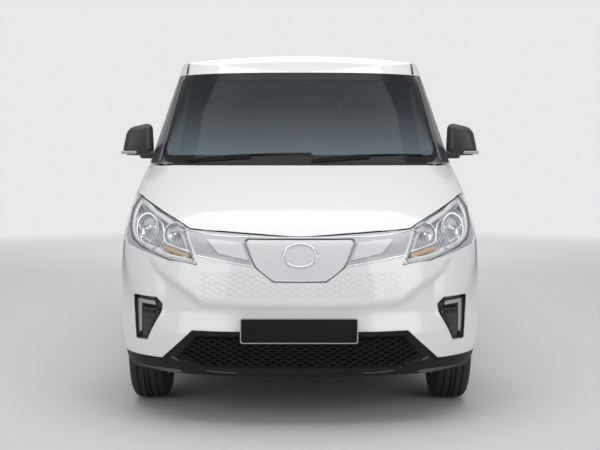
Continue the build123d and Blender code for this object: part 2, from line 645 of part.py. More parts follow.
# Front frame: longitudinal rails, cross beam, lock carrier with rubber pads, subframe and lower arms
RAIL = (400, 460)
BEAM_FRONT = FRONT + 150
CARRIER_TOP = 812
with BuildPart() as bonnet_pads:
    for side in (-1, 1):
        add(rod((side * 380, BEAM_FRONT + 110, CARRIER_TOP - 4), (side * 380, BEAM_FRONT + 110, BELT), 12))
    add(LOWER[PAD_GAP], mode=Mode.INTERSECT)
with BuildPart() as front_frame:
    add(block((-560, BEAM_FRONT, 545), (560, BEAM_FRONT + 50, 625)))
    add(block((-RAIL[1], BEAM_FRONT + 50, CARRIER_TOP - 35), (RAIL[1], BEAM_FRONT + 140, CARRIER_TOP)))
    add(bonnet_pads.part)
    add(block((-RAIL[1], FRONT_AXLE - 60, 195), (RAIL[1], FRONT_AXLE + 85, 235)))
    for side in (-1, 1):
        parts = [
            block((RAIL[0], BEAM_FRONT + 50, 560), (RAIL[1], FIREWALL - 20, 640)),
            block((RAIL[0], BEAM_FRONT + 50, 640), (RAIL[1], BEAM_FRONT + 110, CARRIER_TOP)),
            block((RAIL[0], FRONT_AXLE + 25, 235), (RAIL[1], FRONT_AXLE + 85, 560)),
            block((RAIL[1] - 5, FRONT_AXLE - 28, 170), (KINGPIN_LOW[0] - 10, FRONT_AXLE + 28, 196)),
            rod((KINGPIN_LOW[0], FRONT_AXLE, 170), (KINGPIN_LOW[0], FRONT_AXLE, 188), 26),
        ]
        for piece in parts:
            add(piece if side > 0 else mirror(piece, about=Plane.YZ))
    with Locations(*[(side * KINGPIN_LOW[0], KINGPIN_LOW[1], KINGPIN_LOW[2]) for side in (-1, 1)]):
        Sphere(18 + FIT, mode=Mode.SUBTRACT)
save(front_frame.part, "front_frame")

# Charging well behind the flap, with the socket
with BuildPart() as flap_pads:
    for side in (-1, 1):
        add(rod((side * 60, FRONT, 693), (side * 60, FRONT + 60, 693), 5))
    add(LOWER[FLAP_BACK], mode=Mode.INTERSECT)
with BuildPart() as charge_inlet:
    add(nose_panel(front_block(FLAP, FRONT - 50, FRONT + 400, radius=12), WELL_FRONT, SKIN))
    add(front_block(FLAP, FRONT + 10, BEAM_FRONT + 50, radius=12, grow=-16) & LOWER[SKIN])
    add(front_block(FLAP, FRONT - 50, BEAM_FRONT + 44, radius=12, grow=-20), mode=Mode.SUBTRACT)
    add(rod((0, FRONT + 90, 790), (0, BEAM_FRONT + 46, 790), 46))
    add(flap_pads.part)
save(charge_inlet.part, "charge_inlet")

# Drive unit and battery, plain blocks with the drive shafts
SPRING_X = 480
SPRING_HALF = 600
with BuildPart() as motor_unit:
    add(block((-260, FRONT_AXLE - 200, 240), (260, FRONT_AXLE + 190, 545)))
    add(rod((-590, FRONT_AXLE, TYRE_RADIUS), (590, FRONT_AXLE, TYRE_RADIUS), 15))
    add(block((-RAIL[1] + 30, FRONT_AXLE - 40, 530), (RAIL[1] - 30, FRONT_AXLE + 20, 560)))
save(motor_unit.part, "motor_unit")
with BuildPart() as battery_pack:
    add(block((-600, DOOR_FRONT + 160, 205), (600, REAR_AXLE - SPRING_HALF - 40, FLOOR_BOTTOM)))
save(battery_pack.part, "battery_pack")

# Steering knuckles with their struts and hubs
HUB_FACE = TRACK / 2 + 34
with BuildPart() as knuckle:
    with Locations(KINGPIN_LOW):
        Sphere(18)
    add(rod(KINGPIN_LOW, along_kingpin(0.3), 14))
    add(rod(along_kingpin(0.2), along_kingpin(0.7), 20))
    add(rod(along_kingpin(0.69), along_kingpin(0.999), 62))
    add(block((KINGPIN_LOW[0] - 40, FRONT_AXLE - 30, 262), (KINGPIN_LOW[0] + 20, FRONT_AXLE + 30, 400)))
    add(rod((KINGPIN_LOW[0] - 60, FRONT_AXLE, TYRE_RADIUS), (HUB_FACE - 30, FRONT_AXLE, TYRE_RADIUS), 42))
    add(rod((HUB_FACE - 32, FRONT_AXLE, TYRE_RADIUS), (HUB_FACE + 25, FRONT_AXLE, TYRE_RADIUS), 24))
save_pair(knuckle.part, "knuckle")

# Rear beam axle on leaf springs
with BuildPart() as rear_axle:
    add(rod((-TRACK / 2 + 90, REAR_AXLE, TYRE_RADIUS), (TRACK / 2 - 90, REAR_AXLE, TYRE_RADIUS), 36))
    for side in (-1, 1):
        add(rod((side * (TRACK / 2 - 92), REAR_AXLE, TYRE_RADIUS), (side * (TRACK / 2 - 82), REAR_AXLE,
                                                                   TYRE_RADIUS), 112))
        add(rod((side * (TRACK / 2 - 84), REAR_AXLE, TYRE_RADIUS), (side * (HUB_FACE + 25), REAR_AXLE,
                                                                   TYRE_RADIUS), 24))
        with BuildSketch(Plane.YZ.offset(side * SPRING_X - 30)):
            with BuildLine():
                low = ThreePointArc((REAR_AXLE - SPRING_HALF, 396), (REAR_AXLE, 256),
                                    (REAR_AXLE + SPRING_HALF, 396))
                Line(low @ 1, (REAR_AXLE + SPRING_HALF, 416))
                high = ThreePointArc((REAR_AXLE + SPRING_HALF, 416), (REAR_AXLE, 286),
                                     (REAR_AXLE - SPRING_HALF, 416))
                Line(high @ 1, low @ 0)
            make_face()
        extrude(amount=60)
        for end in (-1, 1):
            y = REAR_AXLE + end * (SPRING_HALF - 15)
            add(block((side * SPRING_X - 30, y - 20, 400), (side * SPRING_X + 30, y + 20, FLOOR_BOTTOM)))
save(rear_axle.part, "rear_axle")


# Tyres and wheels
HAND_HOLE_CIRCLE = 158
HAND_HOLE_COUNT = 16
HAND_HOLE = 10
def wheel_plane(side, axle):
    """Plane through a wheel's middle, with local x outwards and local y upwards."""
    return Plane(origin=(side * TRACK / 2, axle, TYRE_RADIUS), x_dir=(side, 0, 0), z_dir=(0, -side, 0))


def spin_axis(side, axle):
    """A wheel's axis."""
    return Axis((side * TRACK / 2, axle, TYRE_RADIUS), (side, 0, 0))


def tyre(side, axle):
    """Tyre with rounded shoulders."""
    half = TYRE_WIDTH / 2
    base = RIM_RADIUS + 0.5
    with BuildPart() as ring:
        with BuildSketch(wheel_plane(side, axle)):
            with BuildLine():
                Line((-half + 27, base), (-half + 21, base + 9))
                Spline((-half + 21, base + 9), (-half, base + 52), (-half + 10, TYRE_RADIUS - 20),
                       (-half + 34, TYRE_RADIUS - 2))
                Spline((-half + 34, TYRE_RADIUS - 2), (0, TYRE_RADIUS), (half - 34, TYRE_RADIUS - 2))
                Spline((half - 34, TYRE_RADIUS - 2), (half - 10, TYRE_RADIUS - 20), (half, base + 52),
                       (half - 21, base + 9))
                Polyline((half - 21, base + 9), (half - 27, base), (-half + 27, base))
            make_face()
        revolve(axis=spin_axis(side, axle))
    return ring.part


def hand_holes(side, axle):
    """Ring of round holes through a wheel's disc."""
    plane = Plane(origin=(side * (HUB_FACE - 30), axle, TYRE_RADIUS), x_dir=(0, 1, 0), z_dir=(side, 0, 0))
    with BuildPart() as holes:
        with BuildSketch(plane):
            with PolarLocations(HAND_HOLE_CIRCLE, HAND_HOLE_COUNT):
                Circle(HAND_HOLE)
        extrude(amount=90)
    return holes.part


def wheel(side, axle):
    """Rim with a dished disc, hand holes, hub cap and, behind it, the brake disc."""
    face = HUB_FACE - TRACK / 2
    with BuildPart() as rim:
        with BuildSketch(wheel_plane(side, axle)):
            with BuildLine():
                Polyline((-82, RIM_RADIUS + 8), (-78, RIM_RADIUS + 8), (-70, RIM_RADIUS), (70, RIM_RADIUS),
                         (78, RIM_RADIUS + 8), (82, RIM_RADIUS + 8), (76, RIM_RADIUS - 8), (60, RIM_RADIUS - 14),
                         (-60, RIM_RADIUS - 14), (-76, RIM_RADIUS - 8), close=True)
            make_face()
            with BuildLine():
                Polyline((face, 26), (face, 90), (face + 22, 130), (face + 10, RIM_RADIUS - 10),
                         (face + 18, RIM_RADIUS - 10), (face + 31, 132), (face + 9, 84), (face + 9, 60),
                         (face + 30, 44), (face + 30, 26), close=True)
            make_face()
            with BuildLine():
                Polyline((face - 3, 26), (face - 3, 66), (face - 28, 70), (face - 28, 128), (face - 48, 128),
                         (face - 48, 60), (face - 10, 58), (face - 10, 26), close=True)
            make_face()
            with BuildLine():
                Polyline((face - 4, 30), (face - 4, 60), (face + 1, 60), (face + 1, 30), close=True)
            make_face()
        revolve(axis=spin_axis(side, axle))
        add(hand_holes(side, axle), mode=Mode.SUBTRACT)
    return rim.part


for name, side, axle in (("front_left", 1, FRONT_AXLE), ("front_right", -1, FRONT_AXLE),
                         ("rear_left", 1, REAR_AXLE), ("rear_right", -1, REAR_AXLE)):
    save(tyre(side, axle), f"tyre_{name}")
    save(wheel(side, axle), f"wheel_{name}")

# Bulkhead between the cab and the load space
with BuildPart() as bulkhead:
    add(block((-HALF_WIDTH, BULKHEAD, FLOOR_BOTTOM), (HALF_WIDTH, BULKHEAD + BULKHEAD_WALL, ABOVE))
        & BODY[LINING])
    with Locations((0, BULKHEAD, 1150)):
        Box(1000, 12, 760, mode=Mode.SUBTRACT)
save(bulkhead.part, "bulkhead")

# Dashboard with the instrument hood and the steering column
DASH_FRONT = FIREWALL
DASH_REAR = FRONT + 1317
DASH_HALF = 738
STEER_X = 390
STEER_CENTRE = (STEER_X, FRONT + 1497, 1262)
STEER_TILT = 40
STEER_DIR = (0, math.cos(math.radians(STEER_TILT)), math.sin(math.radians(STEER_TILT)))


def on_column(distance):
    """Point on the steering column's axis, at a distance from the steering wheel's middle."""
    return tuple(a + distance * b for a, b in zip(STEER_CENTRE, STEER_DIR))


with BuildPart() as dashboard:
    with BuildSketch(Plane.YZ.offset(-DASH_HALF)) as dash_section:
        with BuildLine():
            Polyline((DASH_FRONT, 1150), (DASH_FRONT, 800), (DASH_REAR - 190, 800), (DASH_REAR - 90, 860),
                     (DASH_REAR, 1010), (DASH_REAR, 1240), (DASH_REAR - 40, 1284), (DASH_REAR - 220, 1290),
                     close=True)
        make_face()
        fillet(dash_section.vertices().group_by(Axis.Y)[-1], 20)
    extrude(amount=2 * DASH_HALF)
    add(BODY[DOOR_CLEAR], mode=Mode.INTERSECT)
    add(bowed_block(BONNET_END + 96, 700, HEADER), mode=Mode.INTERSECT)
    with Locations((STEER_X, DASH_REAR - 130, 1290)):
        Box(340, 200, 70)
    add(rod(on_column(-300), on_column(-40), 42))
    add(rod(on_column(-60), on_column(-8), 12))
save(dashboard.part, "dashboard")

# Steering wheel
wheel_face = Plane(origin=STEER_CENTRE, x_dir=(1, 0, 0), z_dir=STEER_DIR)
with BuildPart() as steering_wheel:
    with BuildSketch(Plane(origin=STEER_CENTRE, x_dir=(1, 0, 0), z_dir=(wheel_face.y_dir * -1))):
        with Locations((187, 0)):
            Circle(15)
    revolve(axis=Axis(STEER_CENTRE, STEER_DIR))
    with BuildSketch(wheel_face.offset(-22)):
        Circle(70)
    extrude(amount=30)
    with BuildSketch(wheel_face.offset(-10)):
        with Locations((120, 0), (-120, 0)):
            Rectangle(120, 34)
        with Locations((0, -120)):
            Rectangle(34, 120)
    extrude(amount=14)
    with BuildSketch(wheel_face.offset(-30)):
        Circle(12 + FIT)
    extrude(amount=24, mode=Mode.SUBTRACT)
save(steering_wheel.part, "steering_wheel")


# Seats
def seat(x, width):
    """One seat: cushion on a plinth, leaning back and head rest."""
    back_foot = DOOR_FRONT + 830
    with BuildPart() as shape:
        add(block((x - width / 2 + 40, back_foot - 420, CAB_FLOOR), (x + width / 2 - 40, back_foot - 40, 690)))
        with BuildSketch(Plane.YZ.offset(x - width / 2)) as cushion:
            with BuildLine():
                Polyline((back_foot - 480, 690), (back_foot + 20, 690), (back_foot + 20, 800),
                         (back_foot - 480, 835), close=True)
            make_face()
            fillet(cushion.vertices(), 30)
        extrude(amount=width)
        with BuildSketch(Plane.YZ.offset(x - width / 2 + 10)) as back:
            with BuildLine():
                Polyline((back_foot - 60, 780), (back_foot + 40, 760), (back_foot + 150, 1440),
                         (back_foot + 60, 1450), close=True)
            make_face()
            fillet(back.vertices(), 25)
        extrude(amount=width - 20)
        with BuildSketch(Plane.YZ.offset(x - 130)) as rest:
            with BuildLine():
                Polyline((back_foot + 60, 1475), (back_foot + 150, 1475), (back_foot + 168, 1640),
                         (back_foot + 95, 1640), close=True)
            make_face()
            fillet(rest.vertices(), 20)
        extrude(amount=260)
        for post in (-62, 62):
            add(rod((x + post, back_foot + 95, 1430), (x + post, back_foot + 118, 1500), 7))
    return shape.part


save(seat(380, 480), "driver_seat")
save(seat(-380, 480), "passenger_seat")
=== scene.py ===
import json
import math

import bmesh
import bpy
import numpy as np
from mathutils import Matrix, Vector
from mathutils.bvhtree import BVHTree

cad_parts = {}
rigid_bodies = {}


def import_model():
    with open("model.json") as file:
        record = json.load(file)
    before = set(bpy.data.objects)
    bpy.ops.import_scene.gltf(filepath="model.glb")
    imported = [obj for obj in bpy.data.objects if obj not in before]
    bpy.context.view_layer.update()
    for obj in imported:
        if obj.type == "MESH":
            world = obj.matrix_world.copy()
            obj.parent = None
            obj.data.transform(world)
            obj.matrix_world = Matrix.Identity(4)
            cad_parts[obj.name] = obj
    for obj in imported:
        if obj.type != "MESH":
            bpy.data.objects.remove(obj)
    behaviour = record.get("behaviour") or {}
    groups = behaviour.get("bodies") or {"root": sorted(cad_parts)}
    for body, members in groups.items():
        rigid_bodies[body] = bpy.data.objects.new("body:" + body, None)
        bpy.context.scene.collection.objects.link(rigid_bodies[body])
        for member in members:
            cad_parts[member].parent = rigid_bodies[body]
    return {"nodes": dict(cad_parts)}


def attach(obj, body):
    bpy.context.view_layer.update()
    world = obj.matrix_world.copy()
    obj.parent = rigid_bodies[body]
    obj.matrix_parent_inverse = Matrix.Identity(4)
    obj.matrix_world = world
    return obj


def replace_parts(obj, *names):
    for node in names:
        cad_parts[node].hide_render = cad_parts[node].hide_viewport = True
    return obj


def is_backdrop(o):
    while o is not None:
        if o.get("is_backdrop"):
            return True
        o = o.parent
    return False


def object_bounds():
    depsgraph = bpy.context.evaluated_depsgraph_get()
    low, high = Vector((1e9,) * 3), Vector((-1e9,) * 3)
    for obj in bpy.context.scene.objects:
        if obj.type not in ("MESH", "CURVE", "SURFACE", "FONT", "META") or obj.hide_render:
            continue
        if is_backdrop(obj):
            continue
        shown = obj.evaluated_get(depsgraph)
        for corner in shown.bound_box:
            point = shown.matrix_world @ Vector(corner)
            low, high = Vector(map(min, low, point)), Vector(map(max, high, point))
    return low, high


for leftover in list(bpy.data.objects):
    bpy.data.objects.remove(leftover)
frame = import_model()
cad_low, cad_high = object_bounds()


# Body shell: pressed steel panels in white gloss paint, welded or hung with even shut lines. Each panel
# starts as a merged copy of its CAD node. It is sliced finely and its outer skin is settled on the
# smooth body surface: a bowed nose and straight sides, both given by height.
NOSE = np.array([
    (0.235, 0.045, 0.040), (0.300, 0.018, 0.020), (0.400, 0.003, 0.005), (0.500, 0.000, 0.000),
    (0.600, 0.008, 0.000), (0.700, 0.024, 0.000), (0.790, 0.048, 0.002), (0.845, 0.072, 0.004),
    (0.885, 0.104, 0.006), (0.925, 0.152, 0.009), (0.985, 0.246, 0.013), (1.060, 0.392, 0.020),
    (1.140, 0.570, 0.033), (1.215, 0.755, 0.045),
])
BELT = 1.215
HALF_WIDTH = 0.89
FRONT = cad_low.y
REAR = cad_high.y
ROUNDNESS = 2.3
NOSE_DEPTH = 0.52
BELT_SETBACK = 0.755
BELT_INSET = 0.045
SCREEN_RAKE = 1.27
TUMBLEHOME = 0.1913


def eased(heights, column):
    """Smooth curve through one column of the nose table, with no overshoot."""
    at, value = NOSE[:, 0], NOSE[:, column]
    step, rise = np.diff(at), np.diff(value) / np.diff(at)
    slope = np.zeros(len(at))
    slope[0], slope[-1] = rise[0], rise[-1]
    same = rise[:-1] * rise[1:] > 0
    slope[1:-1] = np.where(same, 2 * rise[:-1] * rise[1:] / np.where(same, rise[:-1] + rise[1:], 1), 0)
    spot = np.clip(np.searchsorted(at, heights) - 1, 0, len(at) - 2)
    t = np.clip((heights - at[spot]) / step[spot], 0, 1)
    low, high = value[spot], value[spot + 1]
    bend = (2 * t ** 3 - 3 * t ** 2 + 1) * low + (3 * t ** 2 - 2 * t ** 3) * high
    lean = (t ** 3 - 2 * t ** 2 + t) * slope[spot] + (t ** 3 - t ** 2) * slope[spot + 1]
    return bend + step[spot] * lean


def setback(z):
    """How far the nose stands back at a height."""
    z = np.asarray(z, float)
    return np.where(z < BELT, eased(z, 1), BELT_SETBACK + (z - BELT) * SCREEN_RAKE)


def half_width(z):
    """Half-width of the body at a height."""
    z = np.asarray(z, float)
    return np.where(z < BELT, HALF_WIDTH - eased(z, 2), HALF_WIDTH - BELT_INSET - (z - BELT) * TUMBLEHOME)


def outside(points):
    """How far points are outside the body's nose and sides, in metres to first order."""
    x, y, z = points.T
    half = half_width(z)
    depth = NOSE_DEPTH * half / HALF_WIDTH
    back = np.clip(1 - (y - FRONT - setback(z)) / depth, 0, None)
    across = np.abs(x) / half
    return (across ** ROUNDNESS + back ** ROUNDNESS) ** (1 / ROUNDNESS) - 1


def uphill(points):
    """Gradient of outside() at each point."""
    columns = []
    for axis in range(3):
        step = np.zeros(3)
        step[axis] = 0.0005
        columns.append((outside(points + step) - outside(points - step)) / 0.001)
    return np.array(columns).T


def on_body(piece, body="van_body"):
    """A finished piece rides on a body."""
    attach(piece, body)
    return piece


def merged_copy(node):
    """Copy of a CAD node's mesh as a bmesh, with its doubles merged."""
    mesh = bmesh.new()
    mesh.from_mesh(frame["nodes"][node].data)
    bmesh.ops.remove_doubles(mesh, verts=mesh.verts, dist=0.00002)
    bmesh.ops.dissolve_limit(mesh, angle_limit=math.radians(0.4), verts=mesh.verts, edges=mesh.edges)
    return mesh


def sliced(mesh, axis, step):
    """Cuts a bmesh by evenly spaced planes across one axis."""
    spots = [vertex.co[axis] for vertex in mesh.verts]
    normal = Vector((0, 0, 0))
    normal[axis] = 1
    for index in range(math.ceil(min(spots) / step), math.floor(max(spots) / step) + 1):
        geometry = mesh.verts[:] + mesh.edges[:] + mesh.faces[:]
        bmesh.ops.bisect_plane(mesh, geom=geometry, plane_co=normal * (index * step), plane_no=normal,
                               dist=0.00001)


def settled(mesh, sculpt=None, inset=0.0, reach=0.005):
    """Moves the outer skin on to the smooth body surface, pressed in by sculpt(x, y, z)."""
    verts = [vertex for vertex in mesh.verts if vertex.link_faces]
    points = np.array([vertex.co[:] for vertex in verts])
    slope = uphill(points)
    steep = np.linalg.norm(slope, axis=1)
    away = outside(points) / steep + inset
    facing = slope / steep[:, None]
    for index, vertex in enumerate(verts):
        if abs(away[index]) > reach:
            continue
        normal = Vector(facing[index])
        if max(face.normal.dot(normal) for face in vertex.link_faces) < 0.8:
            continue
        press = sculpt(*vertex.co) if sculpt else 0.0
        vertex.co -= normal * (float(away[index]) + press)


def in_scene(name, data):
    """New object in the scene."""
    made = bpy.data.objects.new(name, data)
    bpy.context.scene.collection.objects.link(made)
    return made


def finished(mesh, name, material, angle=32):
    """New object from a bmesh, smooth except at edges sharper than the angle."""
    mesh.normal_update()
    data = bpy.data.meshes.new(name)
    mesh.to_mesh(data)
    mesh.free()
    data.materials.append(material)
    data.shade_smooth()
    data.set_sharp_from_angle(angle=math.radians(angle))
    return in_scene(name, data)


def clad(node, name, material, slot, *cuts, body="van_body", angle=32, **settling):
    """Replaces a CAD node by a finished copy, settled where (axis, step) cuts are given."""
    shape = merged_copy(node)
    for axis, step in cuts:
        sliced(shape, axis, step)
    if cuts:
        shape.normal_update()
        settled(shape, **settling)
    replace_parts(on_body(finished(shape, name, material, angle=angle), body), node)


class Value:
    """A node socket that can be used in plain arithmetic."""

    def __init__(self, finish, socket):
        self.finish = finish
        self.socket = socket

    def _math(self, operation, *values):
        return self.finish.add("ShaderNodeMath", {"operation": operation}, dict(enumerate(values)))

    def __add__(self, other):
        return self._math("ADD", self, other)

    def __sub__(self, other):
        return self._math("SUBTRACT", self, other)

    def __rsub__(self, other):
        return self._math("SUBTRACT", other, self)

    def __mul__(self, other):
        return self._math("MULTIPLY", self, other)

    __radd__ = __add__
    __rmul__ = __mul__

    def __gt__(self, other):
        return self._math("GREATER_THAN", self, other)

    def __lt__(self, other):
        return self._math("LESS_THAN", self, other)

    def __abs__(self):
        return self._math("ABSOLUTE", self)

    def sine(self):
        return self._math("SINE", self)

    def least(self, other):
        return self._math("MINIMUM", self, other)

    def most(self, other):
        return self._math("MAXIMUM", self, other)


class Finish:
    """A material in the making, with its Principled shader."""

    def __init__(self, name, **values):
        self.material = bpy.data.materials.new(name)
        self.material.use_nodes = True
        self.nodes = self.material.node_tree.nodes
        self.links = self.material.node_tree.links
        self.shader = self.nodes["Principled BSDF"]
        self.feed(**values)

    def plug(self, socket, value):
        """Links a value to a socket, or writes a number or a colour in it."""
        if isinstance(value, Value):
            self.links.new(value.socket, socket)
        else:
            socket.default_value = value

    def feed(self, **values):
        """Gives the shader's own sockets their values or links."""
        for key, value in values.items():
            self.plug(self.shader.inputs[key.replace("_", " ")], value)
        return self

    def add(self, kind, settings, sockets, output=0):
        """Output of a new node. Its settings are made first, then its sockets, by name or number."""
        node = self.nodes.new(kind)
        for key, value in settings.items():
            setattr(node, key, value)
        for key, value in sockets.items():
            self.plug(node.inputs[key], value)
        return Value(self, node.outputs[output])

    def spot(self):
        """Object coordinates as one vector."""
        return self.add("ShaderNodeTexCoord", {}, {}, output=3)

    def place(self):
        """Object coordinates as three values."""
        split = self.add("ShaderNodeSeparateXYZ", {}, {0: self.spot()})
        return [Value(self, output) for output in split.socket.node.outputs]

    def noise(self, scale, detail=2.0):
        """Noise on Object coordinates."""
        return self.add("ShaderNodeTexNoise", {}, {"Vector": self.spot(), "Scale": scale, "Detail": detail})

    def mix(self, share, first, second):
        """Colour between two colours."""
        return self.add("ShaderNodeMix", {"data_type": "RGBA"}, {0: share, 6: first, 7: second}, output=2)

    def bump(self, height, strength, distance):
        """Bump from a height value to the shader's normal."""
        return self.feed(Normal=self.add("ShaderNodeBump", {}, {"Height": height, "Strength": strength,
                                                                "Distance": distance}))


DUST_LINE = 0.75
DIMPLE_WIDTH = 0.052
DIMPLE_RISE = 0.026


def painted(name, colour, dust, dimpled=False, pillars=False):
    """Clear-coated car paint: faint orange peel or rows of moulded dimples, road dust low down, and dark
    film on the screen pillars where they are asked for."""
    finish = Finish(name, Coat_Weight=0.9, Coat_Roughness=0.04, Roughness=0.32, IOR=1.5)
    across, depth, height = finish.place()
    low = (DUST_LINE - height).most(0.0) * dust
    cloud = finish.noise(3.0, 5.0)
    share = (low * (cloud + 0.35)).least(1.0)
    coat = finish.mix(share, colour, (0.42, 0.40, 0.37, 1))
    if pillars:
        ahead = depth - height * SCREEN_RAKE < FRONT + BELT_SETBACK - BELT * SCREEN_RAKE + 0.415
        coat = finish.mix(ahead * (height > 1.219) * (height < 1.742), coat, (0.045, 0.047, 0.052, 1))
    finish.feed(Base_Color=coat, Roughness=share * 0.4 + 0.3)
    if dimpled:
        waves = (height * (math.tau / DIMPLE_RISE)).sine() * (across * (math.tau / DIMPLE_WIDTH)).sine()
        rows = (waves * 3.0).most(0.0)
        field = (0.47 - abs(across)).least(0.724 - height).least(height - 0.596) * 60.0
        dents = rows.least(1.0) * field.least(1.0).most(0.0)
        return finish.bump(dents * -1.0, 0.6, 0.004).material
    return finish.bump(finish.noise(700.0, 1.0), 0.02, 0.001).material


VAN_WHITE = (0.85, 0.85, 0.855, 1)
WHITE = painted("white_gloss_paint", VAN_WHITE, 0.10)
PILLAR_WHITE = painted("white_paint_dark_pillars", VAN_WHITE, 0.10, pillars=True)
BUMPER_WHITE = painted("white_gloss_plastic", VAN_WHITE, 0.10, dimpled=True)
FAINT_GREY = painted("pale_grey_gloss", (0.74, 0.745, 0.76, 1), 0.06)
STRIP_GREY = painted("silver_gloss", (0.50, 0.51, 0.53, 1), 0.06)


def ramp(value):
    """A value kept between 0 and 1."""
    return max(0.0, min(1.0, value))


def soft_ramp(value):
    """A value kept between 0 and 1 that starts and ends softly."""
    share = ramp(value)
    return share * share * (3 - 2 * share)


def crease(x):
    """Height of the fold line across the front bumper."""
    return float(np.interp(abs(x), (0, 0.30, 0.451, 0.665, 0.72), (0.573, 0.574, 0.580, 0.720, 0.79)))


FOLD_DEPTH = 0.024
FOLD_END = 0.74
PLATE_FLAT = 0.009
PLATE_HALF = 0.30


def bumper_press(x, y, z):
    """How far the bumper is pressed in: under the fold line, and flat behind the plate."""
    x = abs(x)
    if not 0.40 < z < 0.80 or x > FOLD_END:
        return 0.0
    plate = PLATE_FLAT if x < PLATE_HALF and z < 0.523 else 0.0
    under = soft_ramp((crease(x) - z) / 0.018)
    return max(plate, FOLD_DEPTH * under * ramp((FOLD_END - x) / 0.10) * ramp((z - 0.43) / 0.10))


def bonnet_press(x, y, z):
    """Two soft folds that run up the bonnet towards the screen pillars."""
    line = 0.42 + 0.32 * (z - 0.9) / 0.3
    return 0.0035 * math.exp(-((abs(x) - line) / 0.035) ** 2)


def side_press(x, y, z):
    """Pressed window shapes behind the doors' glass, and a low swage along the side."""
    press = 0.0
    for front, back in ((0.02, 0.67), (0.90, 1.96)):
        room = min(y - front, back - y, z - 1.285, 1.655 - z)
        press = max(press, 0.008 * soft_ramp(room / 0.035))
    ends = ramp(min(y + 1.08, 0.93 - y) / 0.08)
    return press + 0.006 * ends * math.exp(-((z - 0.62) / 0.022) ** 2)


PANELS = {
    "front_bumper": (BUMPER_WHITE, 0.013, bumper_press), "bonnet": (WHITE, 0.04, bonnet_press),
    "front_fenders": (WHITE, 0.035, None), "body_side_left": (PILLAR_WHITE, 0.02, side_press),
    "body_side_right": (PILLAR_WHITE, 0.02, side_press),
    "front_door_left": (PILLAR_WHITE, 0.022, side_press),
    "front_door_right": (PILLAR_WHITE, 0.022, side_press), "sliding_door": (WHITE, 0.02, side_press),
    "side_sills": (WHITE, 0.06, None), "grille_panel": (STRIP_GREY, 0.022, None),
    "charge_flap": (FAINT_GREY, 0.022, None),
}
OWNERS = {node: node for node in ("bonnet", "front_door_left", "front_door_right", "charge_flap")}
SLOTS = {"front_bumper": "white_plastic", "grille_panel": "pale_grey_plastic",
         "charge_flap": "pale_grey_plastic"}
for node, (material, grid, sculpt) in PANELS.items():
    clad(node, f"{node}_skin", material, SLOTS.get(node, "white_paint"), (2, grid),
         (1 if sculpt is side_press else 0, grid), body=OWNERS.get(node, "van_body"), sculpt=sculpt)


# Roof, rear doors, hinges and rear bumper: flat or simply curved panels in the same paint, welded, hung
# or clipped on. They keep the CAD shape.
PLAIN = {"roof_panel": ("van_body", "white_paint"), "rear_door_left": ("rear_door_left", "white_paint"),
         "rear_door_right": ("rear_door_right", "white_paint"), "rear_hinges": ("van_body", "white_paint"),
         "rear_bumper": ("van_body", "white_plastic")}
for node, (body, slot) in PLAIN.items():
    clad(node, f"{node}_skin", WHITE, slot, body=body, angle=12)


# Windscreen: bonded tinted glass with a black printed border round the clear part. The border's inner
# corners are rounded.
def tinted(name, colour, clearness):
    """Tinted safety glass: dark and glossy, with the cab showing through."""
    return Finish(name, Base_Color=colour, Roughness=0.03, IOR=1.5, Alpha=clearness, Specular_IOR_Level=0.10)


screen_glass = tinted("windscreen_glass", (0.035, 0.05, 0.058, 1), 0.5)
across, _, height = screen_glass.place()
CORNER = 0.05
GLASS_HALF, GLASS_FOOT, GLASS_HEAD = 0.742, 1.262, 1.694
side_room = GLASS_HALF - (height - 1.269) * 0.19 - abs(across)
end_room = (height - GLASS_FOOT).least(GLASS_HEAD - height)
side_lack = (CORNER - side_room).most(0.0)
end_lack = (CORNER - end_room).most(0.0)
border = (side_lack * side_lack + end_lack * end_lack) > CORNER * CORNER
cloud = screen_glass.noise(2.0)
# Painted reflection: the glass colour turns pale blue-grey low down, standing in for reflected light. Higher
# up it keeps its dark tint.
painted_reflection_share = ((1.66 - height) * 2.6).most(0.0).least(1.0)
tint_and_painted_reflection = screen_glass.mix(painted_reflection_share * painted_reflection_share, (0.022, 0.030, 0.036, 1), (0.16, 0.205, 0.23, 1))
screen_glass.feed(Base_Color=screen_glass.mix(border, tint_and_painted_reflection, (0.012, 0.012, 0.014, 1)),
                  Alpha=border * 0.45 + 0.55, Roughness=border * 0.1 + cloud * 0.02 + 0.02)
clad("windscreen", "windscreen_pane", screen_glass.material, "tinted_glass", (2, 0.05))

# Screen pillar mouldings: dark grey plastic strips clipped on beside the glass, from the cowl to the roof.
# A strip is a round bar half sunk in the body.
SIDES = (("left", 1), ("right", -1))


def nose_y(x, z, inset=0.0):
    """Where the body's nose is at a place in the front view."""
    half = float(half_width(z)) - inset
    across = min(abs(x) / half, 1.0)
    bow = 1 - (1 - across ** ROUNDNESS) ** (1 / ROUNDNESS)
    return FRONT + float(setback(z)) + NOSE_DEPTH * half / HALF_WIDTH * bow + inset


def on_nose(points, inset, side=1):
    """Points of the front view laid on the nose, on one side of the van."""
    return [(side * x, nose_y(x, z, inset), z) for x, z in points]


def tube(name, points, radius, material, body="van_body", closed=False, smooth=True, turns=6):
    """Round bar along points, as a mesh."""
    curve = bpy.data.curves.new(name, "CURVE")
    curve.dimensions = "3D"
    spline = curve.splines.new("NURBS" if smooth else "POLY")
    spline.points.add(len(points) - 1)
    for point, place in zip(spline.points, points):
        point.co = (*place, 1)
    if smooth:
        spline.order_u = 3
        spline.use_endpoint_u = not closed
    spline.use_cyclic_u = closed
    spline.resolution_u = 6
    curve.bevel_depth = radius
    curve.bevel_resolution = turns
    curve.use_fill_caps = True
    maker = in_scene(name, curve)
    data = bpy.data.meshes.new_from_object(maker.evaluated_get(bpy.context.evaluated_depsgraph_get()))
    bpy.data.objects.remove(maker)
    data.name = name
    data.materials.clear()
    data.materials.append(material)
    data.shade_smooth()
    on_body(in_scene(name, data), body)


